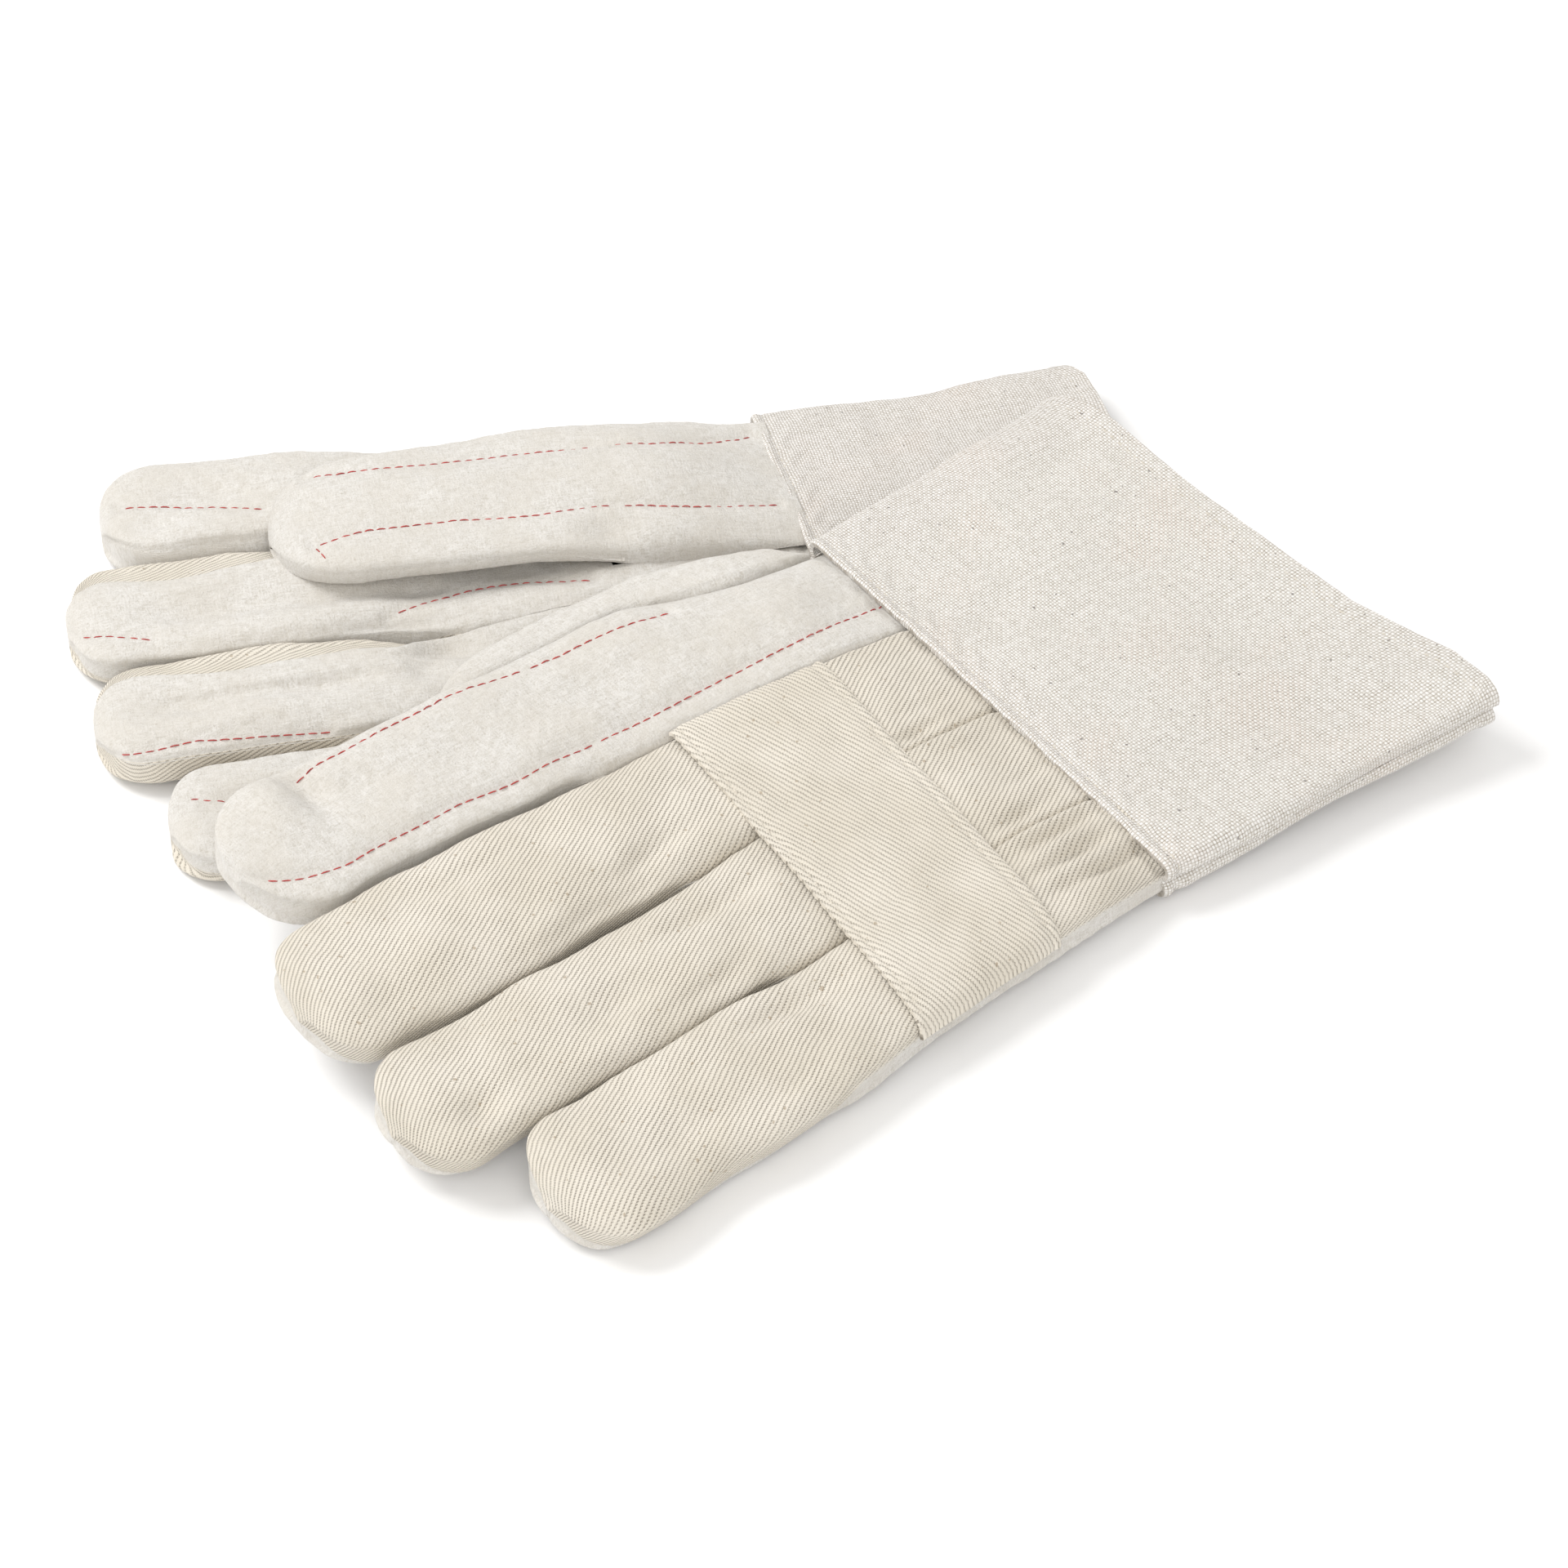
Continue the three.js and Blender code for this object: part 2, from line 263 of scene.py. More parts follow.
def edge(glove, k, top, x, crown):
    """Depth below the crown and profile power at the seam before strip k, on one face."""
    mid = crown / 2
    depth, power = INDEX_VALLEYS[top] if k == MIDDLE else VALLEYS[top]
    if one_cloth(glove, k, top):
        depth, power = SEAMLESS_VALLEY
    deep = ease(*CROTCH_DEEPENING, x) ** DEEPENING_POWER
    return depth + (mid - depth) * deep, power + (STEEP_POWER - power) * ease(*CROTCH_STEEPENING, x)


def hand_height(glove, x):
    return glove["wrist"] + (glove["hand"] - glove["wrist"]) * ease(*HAND_RISE, x)


def section(angle, y_power, z_power):
    """A point of a flattened round section; the angle is 0 at the top."""
    y, z = np.sin(angle), np.cos(angle)
    return np.sign(y) * np.abs(y) ** y_power, np.sign(z) * np.abs(z) ** z_power


def around(q, top, seam):
    """The angle at a share q of the way from the middle of a face to a side seam."""
    seam = np.radians(seam)
    return q * seam if top else math.pi - q * (math.pi - seam)


def hand_point(glove, k, top, x, low, high, t, crown, edges):
    """y and z on the hand: strips meet in valleys, and the outer edges are round."""
    (low_drop, low_power), (high_drop, high_power) = edges
    y = low + (high - low) * t
    drop = np.where(t < 0.5, low_drop * (1 - dome(t, low_power)), high_drop * (1 - dome(t, high_power)))
    z = crown - drop if top else drop
    mid = crown / 2
    q = np.abs(np.arcsin(np.clip(2 * t - 1, -1, 1))) / (math.pi / 2)
    for finger, sign in ((INDEX, -1), (LITTLE, 1)):
        if k != finger:
            continue
        seam = glove["little_seam"] if k == LITTLE else HALF_ROUND
        side, rise = section(around(q, top, seam), *HAND_SECTION)
        outer = (2 * t - 1) * sign > 0
        y = np.where(outer, (low + high) / 2 + sign * (high - low) / 2 * side, y)
        z = np.where(outer, mid + mid * rise, z)
    under = glove["under"] * (1 - ease(*UNDER_END, x))
    if not top:
        z = np.where(z < mid, under + z * (1 - under / mid), z)
    return y, z


def strip_base(glove, k, top, s, t):
    """A point on the top or bottom cloth of strip k; t runs across it from 0 to 1."""
    x, low, high, left = strip_outline(glove, k, s)
    crown = hand_height(glove, x)
    edges = [edge(glove, number, top, x, crown) for number in (k, k + 1)]
    y_hand, z_hand = hand_point(glove, k, top, x, low, high, t, crown, edges)

    q = np.arcsin(np.clip(2 * t - 1, -1, 1)) / (math.pi / 2)
    free, behind_tip = ease(CROTCH, FINGER_FREE, x), ease(0, TIP_SEAMS, left)
    own_seam = free * behind_tip
    low_seam, high_seam = (HALF_ROUND + (abs(seam) - HALF_ROUND) * own_seam for seam in glove["seams"][k])
    if k == LITTLE:
        on_hand, on_finger = glove["little_seam"], glove["seams"][k][1]
        high_seam = HALF_ROUND + (on_hand + (on_finger - on_hand) * free - HALF_ROUND) * behind_tip
    at, reach, climb = glove["climb"][k]
    low_seam = low_seam - climb * bell(x, at, reach) * own_seam
    angle = np.where(q < 0, -around(-q, top, low_seam), around(q, top, high_seam))
    side, rise = section(angle, *FINGER_SECTION)
    height = glove["finger"][k]
    half_height = height / 2 * left**TIP_FLATTENING
    level = crown / 2 + (height - crown) / 2 * ease(*OWN_HEIGHT, x)
    level = level - glove["tip_drop"] * (1 - left) ** TIP_DROP_POWER
    own = ease(*OWN_SHAPE, x)
    y = (1 - own) * y_hand + own * ((low + high) / 2 + (high - low) / 2 * side)
    z = (1 - own) * z_hand + own * (level + half_height * rise)
    start, end = DROOP_SPAN
    z = z - glove["droop"][k] * (ease(start, end, x) + np.maximum(x - start, 0) / (end - start)) / 2
    return point(x, y, z)


# Red quilting lines: finger, whether on the top face, and (x, share across) points along each
QUILTING = {
    "right": [
        ("index", True, [(147, 0.74), (161, 0.62), (174, 0.54), (187, 0.49)]),
        ("middle", True, [(185, 0.82), (189, 0.79), (198, 0.73), (205, 0.74)]),
        ("middle", True, [(64, 0.77), (82, 0.65), (91, 0.64), (100, 0.67), (110, 0.73), (121, 0.82)]),
        ("ring", True, [(144, 0.97), (158, 0.96), (167, 0.94), (179, 0.91), (193, 0.94), (200, 0.97)]),
        ("little", True, [(172, 0.52), (180, 0.47), (187, 0.36)]),
    ],
    "left": [
        ("index", True, [(53, 0.18), (61, 0.21), (78, 0.18), (94, 0.16), (112, 0.11), (136, 0.09),
                         (157, 0.10), (169, 0.13)]),
        ("index", True, [(1, 0.71), (27, 0.76), (62, 0.81), (100, 0.83), (121, 0.81), (139, 0.80),
                         (171, 0.82), (180, 0.78), (192, 0.74)]),
        ("middle", False, [(12, 0.55), (60, 0.5), (120, 0.5), (204, 0.5)]),
        ("ring", False, [(12, 0.5), (60, 0.5), (120, 0.5), (208.9, 0.5)]),
        ("little", False, [(12, 0.5), (60, 0.5), (120, 0.5), (192.9, 0.5)]),
    ],
}

# Folds and hollows: centre x, share across, length, width and depth; a ridge has a negative depth
DENTS = {
    ("left", INDEX, True): [
        (166, 0.28, 4.2, 11, 4.2), (156, 0.42, 8, 7, 1.6), (177, 0.30, 6, 12, -2.0), (128, 0.5, 28, 9, 1.2),
        (84, 0.5, 20, 9, 1.0), (12, 0.55, 12, 8, 1.2), (34, 0.42, 10, 5, -0.8),
    ],
    ("left", MIDDLE, True): [
        (27, 0.90, 7, 2.6, 2.4), (18, 0.72, 9, 3.0, 1.2), (108, 0.72, 16, 4, 2.2), (150, 0.3, 24, 5, 1.7),
        (132, 0.85, 18, 4, 1.6), (186, 0.7, 8, 6, 1.3), (168, 0.55, 9, 5, -0.7),
    ],
    ("left", RING, True): [
        (25, 0.88, 8, 2.6, 2.4), (20, 0.10, 8, 2.6, -0.9), (14, 0.62, 9, 3.0, 1.2), (112, 0.34, 15, 4, 2.9),
        (144, 0.55, 14, 5, 2.6), (190, 0.70, 6, 5, 3.2), (168, 0.2, 12, 5, 1.4), (122, 0.78, 12, 4, 1.8),
        (158, 0.78, 9, 4, -0.8),
    ],
    ("left", LITTLE, True): [
        (20, 0.17, 14, 2.4, 2.2), (22, 0.42, 12, 2.4, 3.0), (14, 0.66, 14, 2.6, 2.8),
        (22, 0.30, 12, 2.0, -1.0), (30, 0.62, 6, 3, 1.9), (112, 0.28, 14, 4, 2.5),
        (150, 0.6, 18, 5, 1.7), (128, 0.7, 12, 4, 1.5),
    ],
    ("right", INDEX, True): [(160, 0.50, 12, 6, 2.3), (180, 0.76, 8, 6, 1.6), (168, 0.85, 14, 4, -0.9)],
    ("right", MIDDLE, True): [
        (122, 0.92, 16, 6, 4.0), (136, 0.60, 24, 5, 3.0), (172, 0.60, 16, 5, 2.8), (84, 0.5, 18, 8, 2.6),
        (150, 0.86, 24, 3.5, -1.3), (110, 0.55, 9, 6, 2.4), (66, 0.88, 22, 4, -1.2),
    ],
    ("right", RING, True): [
        (108, 0.18, 10, 7, 5.2), (115, 0.45, 6, 6, 2.4), (150, 0.50, 24, 5, 2.8), (180, 0.55, 12, 6, 2.2),
        (84, 0.3, 22, 8, 3.2), (156, 0.76, 22, 4, -1.2), (88, 0.62, 24, 4, -1.4),
    ],
    ("right", LITTLE, True): [(156, 0.5, 16, 6, 1.6)],
}


LINE_FADE = 3  # the valley of a quilting line runs out over this length


def line_at(points, x):
    """How far across a quilting line is at x, and how much of it is there."""
    along, share = zip(*points)
    start, end = along[0], along[-1]
    inside = ease(start - LINE_FADE, start, x) * (1 - ease(end, end + LINE_FADE, x))
    return np.interp(x, along, share), inside


def quilted_depth(points, x, t, arc):
    """The valley that one quilting line pulls into the cloth: a narrow one in a wide one."""
    share, inside = line_at(points, x)
    away = (t - share) * arc
    return inside * (0.5 * bell(away, 0, 2.3) + 0.6 * bell(away, 0, 5.5))


def dent_depth(glove, k, top, x, t, arc):
    found = DENTS.get((glove["side"], k, top), [])
    return sum((deep * bell(x, at, long) * bell((t - share) * arc, 0, wide)
                for at, share, long, wide, deep in found), 0 * (x + t))


def strip_arc(low, high):
    return np.maximum(high - low, 14) * 1.3


# Waves of the strips' cloth: length, stretch and angle, and their height on fleece and on twill
STRIP_WAVES = [(38, 1.5, 0, 0.55, 0.65), (15, 2.4, 10, 0.16, 0.34), (5.5, 1.0, 0, 0.10, 0.05)]
UNDER_STRAP = (30, 36, 84, 92)  # the back is pressed in here, from and to
PRESSED = 0.5
FLEECE_VALLEY, TWILL_VALLEY = 0.8, 0.95  # how deep the cloth dips towards a seam
VALLEY_WIDTH = 1.5
STITCHED_VALLEY = (0.45, 0.7)  # and the narrower dip of its stitches: depth and width
RIDGE = (0.5, 2.0, 1.1)  # the turned-in edge of the twill: height, distance from the seam, width
CUFF_PRESS = (1.0, CUFF_OVERLAP + 0.5, 1.7)  # the gauntlet's edge: depth, place and width
STRIP_SEEDS = {"right": 100, "left": 200}
CUFF_SEEDS = {"right": 300, "left": 400}
THUMB_SEEDS = {"right": 520, "left": 540}


def strip_relief(glove, k, top, s, t):
    """How far the cloth stands out from its smooth base."""
    fleece = k == INDEX or top == glove["palm_up"]
    x, low, high, left = strip_outline(glove, k, s)
    y = low + (high - low) * t
    arc = strip_arc(low, high)
    seed = STRIP_SEEDS[glove["side"]] + (50 if top else 0)
    total = sum(ripple(x, y, seed + i, length, stretch, angle) * (on_fleece if fleece else on_twill)
                for i, (length, stretch, angle, on_fleece, on_twill) in enumerate(STRIP_WAVES))
    total = total * left**0.5
    if top != glove["palm_up"]:
        start, full, fading, end = UNDER_STRAP
        total -= PRESSED * ease(start, full, x) * (1 - ease(fading, end, x))
    depth = FLEECE_VALLEY if fleece else TWILL_VALLEY
    pucker = 1 + 0.35 * np.sin(x * 2 * math.pi / 7.3 + 1.7 * np.sin(x / 11)) * np.sin(x * 0.23)
    for at_edge, number in ((t, k), (1 - t, k + 1)):
        sewn = ease(96, 106, x) if one_cloth(glove, number, top) else 1.0
        if k == INDEX and number == INDEX:
            sewn = 0.0
        shallow = 1 if fleece else 0.5 + 0.5 * ease(30, 60, x)
        total -= depth * shallow * sewn * pucker * bell(at_edge * arc, 0, VALLEY_WIDTH)
        total -= STITCHED_VALLEY[0] * sewn * bell(at_edge * arc, 0, STITCHED_VALLEY[1])
        if not fleece and number == k:
            high_ridge, beside, wide = RIDGE
            total += high_ridge * (1 - ease(60, 90, x)) * bell(at_edge * arc, beside, wide)
    for name, on_top, points in QUILTING[glove["side"]]:
        if name == FINGERS[k]["name"] and on_top == top:
            total -= quilted_depth(points, x, t, arc)
    total -= dent_depth(glove, k, top, x, t, arc)
    if top:
        total -= CUFF_PRESS[0] * bell(x, *CUFF_PRESS[1:])
    for at_edge, number in ((t, k), (1 - t, k + 1)):
        meets = 1.0 if number in (INDEX, LITTLE + 1) else ease(98, 110, x)
        settled = 0.0 if number == INDEX else -SEAM_DEPTH
        total += (settled - total) * meets * bell(at_edge * arc, 0, SEAM_WIDTH)
    return total * ease(0, 0.3, left)


def outward(shape, s, t, face, ds, dt, least, instead):
    """The outward direction of a sheet, or another one where the sheet has no width."""
    along = shape(s + ds, t) - shape(s - ds, t)
    across = shape(s, np.clip(t + dt, 0, 1)) - shape(s, np.clip(t - dt, 0, 1))
    normal = np.cross(along, across) * face
    size = np.linalg.norm(normal, axis=-1, keepdims=True)
    return np.where(size > least, normal / np.maximum(size, least / 1000), instead)


def displaced(base, relief, lift, s, t, face):
    """The base moved out by its relief; lift says where it moves straight up instead."""
    up = np.array([0.0, 0.0, float(face)])
    normal = outward(base, s, t, face, 0.5, 0.006, 1e-6, np.array([1.0, 0.0, 0.0]))
    share = lift(s, t)[..., None]
    direction = share * up + (1 - share) * normal
    direction = direction / np.maximum(np.linalg.norm(direction, axis=-1, keepdims=True), 1e-9)
    return base(s, t) + direction * relief(s, t)[..., None]


class Surface:
    """A curved sheet given by functions of s (mm along) and t (0 to 1 across)."""

    def __init__(self, glove, base, relief, face, lift=None, flat=None, finish=None):
        self.glove, self.base, self.relief, self.face = glove, base, relief, face
        self.lift = lift or (lambda s, t: np.zeros(np.broadcast(s, t).shape))
        self.flat = flat or self.unrolled
        self.finish = finish

    def unrolled(self, s, t):
        """Where the cloth was on the flat: its width is measured out from the middle of the strip."""
        shape = self.base(s, t)
        step = np.linalg.norm(np.diff(shape, axis=1), axis=-1)
        width = np.concatenate([np.zeros((len(s), 1)), np.cumsum(step, axis=1)], axis=1)
        middle = np.argmin(np.abs(t[0] - 0.5))
        across = shape[:, middle : middle + 1, 1] + width - width[:, middle : middle + 1]
        return np.stack([s, across * self.face], axis=-1)

    def local(self, s, t):
        points = displaced(self.base, self.relief, self.lift, s, t, self.face)
        return self.finish(points) if self.finish else points

    def points(self, s, t):
        return to_row(self.glove, self.local(s, t))

    def normals(self, s, t):
        tip = np.array([1.0, 0.0, 0.0]) @ self.glove["matrix"].T
        return outward(self.points, s, t, self.face, 0.6, 0.012, 1e-12, tip)

    def patch(self, s, t, keep=None):
        s_grid, t_grid = np.meshgrid(s, t, indexing="ij")
        return {
            "points": self.points(s_grid, t_grid),
            "normals": self.normals(s_grid, t_grid),
            "uv": self.flat(s_grid, t_grid) * MM,
            "keep": None if keep is None else keep(s_grid, t_grid),
        }


def strip(glove, k, top):
    def base(s, t):
        return strip_base(glove, k, top, s, t)

    def lift(s, t):
        outer = (1 - t) ** 2 if k == INDEX else t**2 if k == LITTLE else 0 * t
        return (1 - ease(99, 112, s)) * (1 - outer)

    face = 1 if top else -1
    return Surface(glove, base, lambda s, t: strip_relief(glove, k, top, s, t), face, lift)


def across(count=COLUMNS):
    return (1 + np.sin(np.linspace(-math.pi / 2, math.pi / 2, count + 1))) / 2


def rows(start, end):
    count = max(2, round((end - start) / ROW_STEP))
    return np.linspace(start, end, count + 1)


# ---- Mesh building


MERGE = 2e-6  # metres: patches share their corners nearer than this
STITCH_ALONG = np.array([0.0, 0.12, 0.35, 0.65, 0.88, 1.0])
STITCH_RISE = np.array([-0.55, 0.02, 0.20, 0.20, 0.02, -0.55])
STITCH_GIRTH = np.array([0.45, 0.9, 1.0, 1.0, 0.9, 0.45])


def new_object(name, mesh, material):
    mesh.materials.append(material)
    thing = bpy.data.objects.new(name, mesh)
    bpy.context.collection.objects.link(thing)
    return thing


def unit(vectors, least):
    return vectors / np.maximum(np.linalg.norm(vectors, axis=1, keepdims=True), least)


def shell(name, patches, material, thickness=CLOTH):
    """A closed cloth piece: patches joined edge to edge, given thickness, its rims closed."""
    points = np.concatenate([p["points"].reshape(-1, 3) for p in patches])
    normals = np.concatenate([p["normals"].reshape(-1, 3) for p in patches])
    uvs = np.concatenate([p["uv"].reshape(-1, 2) for p in patches])
    corners = []
    offset = 0
    for p in patches:
        n_rows, n_cols = p["points"].shape[:2]
        index = offset + np.arange(n_rows * n_cols).reshape(n_rows, n_cols)
        quads = np.stack([index[:-1, :-1], index[1:, :-1], index[1:, 1:], index[:-1, 1:]], -1)
        quads = quads.reshape(-1, 4)
        if p["keep"] is not None:
            middle = p["keep"][:-1, :-1].reshape(-1) & p["keep"][1:, 1:].reshape(-1)
            quads = quads[middle]
        corners.append(quads)
        offset += n_rows * n_cols
    corners = np.concatenate(corners)
    cells = np.round(points / MERGE).astype(np.int64)
    _, first, merged = np.unique(cells, axis=0, return_index=True, return_inverse=True)
    merged = merged.reshape(-1)
    used = np.unique(merged[corners])
    renumber = np.full(first.size, -1)
    renumber[used] = np.arange(used.size)
    vertex = renumber[merged]
    summed = np.zeros((first.size, 3))
    np.add.at(summed, merged, normals)
    vertex_normals = unit(summed[used], 1e-9)
    outer = points[first][used]
    inner = outer - vertex_normals * thickness * MM
    count = len(outer)

    faces, face_uvs = [], []
    edges = {}
    for quad in corners:
        ring = []
        for corner in quad:
            v = int(vertex[corner])
            if not ring or all(v != r[0] for r in ring):
                ring.append((v, int(corner)))
        if len(ring) < 3:
            continue
        a, b, c = (outer[ring[i][0]] for i in (0, 1, 2))
        if np.dot(np.cross(b - a, c - a), vertex_normals[ring[0][0]] + vertex_normals[ring[1][0]]) < 0:
            ring.reverse()
        faces.append([v for v, _ in ring])
        face_uvs.append([uvs[corner] for _, corner in ring])
        for i, (v, corner) in enumerate(ring):
            w, corner_w = ring[(i + 1) % len(ring)]
            edges.setdefault((min(v, w), max(v, w)), []).append((v, w, uvs[corner], uvs[corner_w]))
    outer_faces = len(faces)
    for i in range(outer_faces):
        faces.append([v + count for v in reversed(faces[i])])
        face_uvs.append(list(reversed(face_uvs[i])))
    for found in edges.values():
        if len(found) == 1:
            v, w, uv_v, uv_w = found[0]
            faces.append([w, v, v + count, w + count])
            face_uvs.append([uv_w, uv_v, uv_v, uv_w])
    mesh = bpy.data.meshes.new(name)
    mesh.from_pydata(np.concatenate([outer, inner]).tolist(), [], faces)
    layer = mesh.uv_layers.new(name="UVMap")
    layer.data.foreach_set("uv", np.array([uv for ring in face_uvs for uv in ring]).ravel())
    mesh.polygons.foreach_set("use_smooth", [True] * len(faces))
    mesh.update()
    loop_normals = []
    for i, face in enumerate(faces):
        if i < outer_faces:
            loop_normals += [tuple(vertex_normals[v]) for v in face]
        elif i < 2 * outer_faces:
            loop_normals += [tuple(-vertex_normals[v - count]) for v in face]
        else:
            loop_normals += [tuple(mesh.polygons[i].normal)] * len(face)
    mesh.normals_split_custom_set(loop_normals)
    piece = new_object(name, mesh, material)
    piece["outer_faces"] = outer_faces
    return piece


def stitches(name, runs, material, length=2.9, gap=0.4, radius=0.175, sink=-0.12, sides=6):
    """Separate stitches of thread along lines on a cloth; each run is a surface and its s and t."""
    verts, faces = [], []
    for surface, s, t in runs:
        points = surface.points(s, t)
        normals = surface.normals(s, t)
        step = np.linalg.norm(np.diff(points, axis=0), axis=1) / MM
        along = np.concatenate([[0], np.cumsum(step)])
        start = gap / 2
        while start + length < along[-1]:
            at = start + length * STITCH_ALONG
            buried = 0.07 * (1 + math.sin(start / 6.1)) + 0.05 * (1 + math.sin(start / 2.3))
            height = STITCH_RISE - sink - buried
            centre = np.stack([np.interp(at, along, points[:, i]) for i in range(3)], axis=-1)
            normal = np.stack([np.interp(at, along, normals[:, i]) for i in range(3)], axis=-1)
            normal /= np.linalg.norm(normal, axis=1, keepdims=True)
            centre = centre + normal * height[:, None] * MM
            tangent = np.gradient(centre, axis=0)
            side = unit(np.cross(tangent, normal), 1e-12)
            up = unit(np.cross(side, tangent), 1e-12)
            size = radius * STITCH_GIRTH * MM
            first = len(verts)
            for c, a, b, r in zip(centre, side, up, size):
                for i in range(sides):
                    turn = 2 * math.pi * i / sides
                    verts.append(tuple(c + r * (a * math.cos(turn) + b * math.sin(turn))))
            for j in range(len(centre) - 1):
                for i in range(sides):
                    k = (i + 1) % sides
                    p, q = first + j * sides, first + (j + 1) * sides
                    faces.append([p + i, p + k, q + k, q + i])
            faces.append([first + i for i in reversed(range(sides))])
            faces.append([first + (len(centre) - 1) * sides + i for i in range(sides)])
            start += length + gap
    mesh = bpy.data.meshes.new(name)
    mesh.from_pydata(verts, [], faces)
    mesh.polygons.foreach_set("use_smooth", [True] * len(faces))
    mesh.update()
    return new_object(name, mesh, material)


# ---- Knuckle strap, across the backs of the middle, ring and little fingers

STRAP_WIDTH = 48.5
STRAP_LENGTH = 105.0  # over its three strips, for the waves and gathers
STRAP_FLAT = 110.0  # the same cloth laid flat
STRAP_CREST, PALM_CLEARANCE = 1.25, 1.0  # how far it lies out from the back it is sewn to
STRAP_START = (32.0, 41.0)  # its edge nearer the wrist, on the index side and the little side
STRAP_STITCHING = (3.0, 46.3)


def strap_surface(glove):
    """The strap follows the three strips under it, and lies a little out from them."""
    top = not glove["palm_up"]
    face = 1 if top else -1

    def base(s, t):
        x = STRAP_START[0] + (STRAP_START[1] - STRAP_START[0]) * t + s
        crown = hand_height(glove, x)
        y, z = 0 * x, 0 * x
        for k in (MIDDLE, RING, LITTLE):
            share = np.clip(3 * t - (k - 1), 0, 1)
            edges = ((1.2, 0.6) if k == MIDDLE else (0.45, 2.0), (0.45, 2.0))
            low, high = seam_y(glove, k, x), seam_y(glove, k + 1, x)
            y_here, z_here = hand_point(glove, k, top, x, low, high, share, crown, edges)
            inside = (3 * t >= k - 1) & (3 * t <= k)
            y, z = np.where(inside, y_here, y), np.where(inside, z_here, z)
        if not top:
            z = np.maximum(z - PALM_CLEARANCE, 0.4)
        return point(x, y, z)

    def relief(s, t):
        y = t * STRAP_LENGTH
        lift = STRAP_CREST if top else 0.0
        edge_roll = 0.55 * (bell(s, 0, 0.8) + bell(s, STRAP_WIDTH, 0.8))
        sewn = 0.5 * sum(bell(s, line, 1.0) for line in STRAP_STITCHING)
        waves = 0.22 * ripple(s, y, 71, 26, 1.6, 80) + 0.07 * ripple(s, y, 72, 8, 2, 80)
        ends = 0.6 * (bell(y, 0, 1.6) + bell((1 - t) * STRAP_LENGTH, 0, 1.6))
        gather = 0.16 * np.sin(2 * math.pi * (y + 0.7 * s) / 3.1)
        gather = gather * (bell(s, 1.8, 1.6) + bell(s, STRAP_WIDTH - 1.4, 1.6))
        return (lift + waves + gather) - edge_roll - sewn - ends

    def flat(s, t):
        return np.stack([s + 0 * t, t * STRAP_FLAT * face + 0 * s], axis=-1)

    return Surface(glove, base, relief, face, None, flat)


# ---- Gauntlet

CUFF_LENGTH = 100.0
CUFF_SPAN = 158.0  # across one panel
CUFF_ARC_SPAN = 174.0  # the same with its rolled sides
CUFF_STATIONS = [0, 34, 70, CUFF_LENGTH]  # "cuff_top" and "cuff_bottom" are heights at these
CUFF_CROWN = 0.9
SIDE_ARC = math.radians(152)  # each side rolls this far round towards the other panel
SIDE_SLIT = 0.8  # the two lips of the side seam stand this far apart
SIDE_FADE = 3.5  # the cloth's waves run out this near the side seam
WRIST_STITCHING = 3.4
HEM = 5.5
HEM_STITCHING = CUFF_LENGTH - HEM + 0.8

# Creases of the left gauntlet's top: start and end along it, start and end across it, width, depth
CUFF_CREASES = [
    (20, 88, 118, 140, 4.0, 0.9),
    (42, 96, 136, 147, 3.0, 1.0),
    (30, 70, 92, 100, 5.0, 0.5),
    (8, 44, 60, 52, 5.0, 0.5),
    (55, 98, 30, 18, 6.0, 0.6),
]


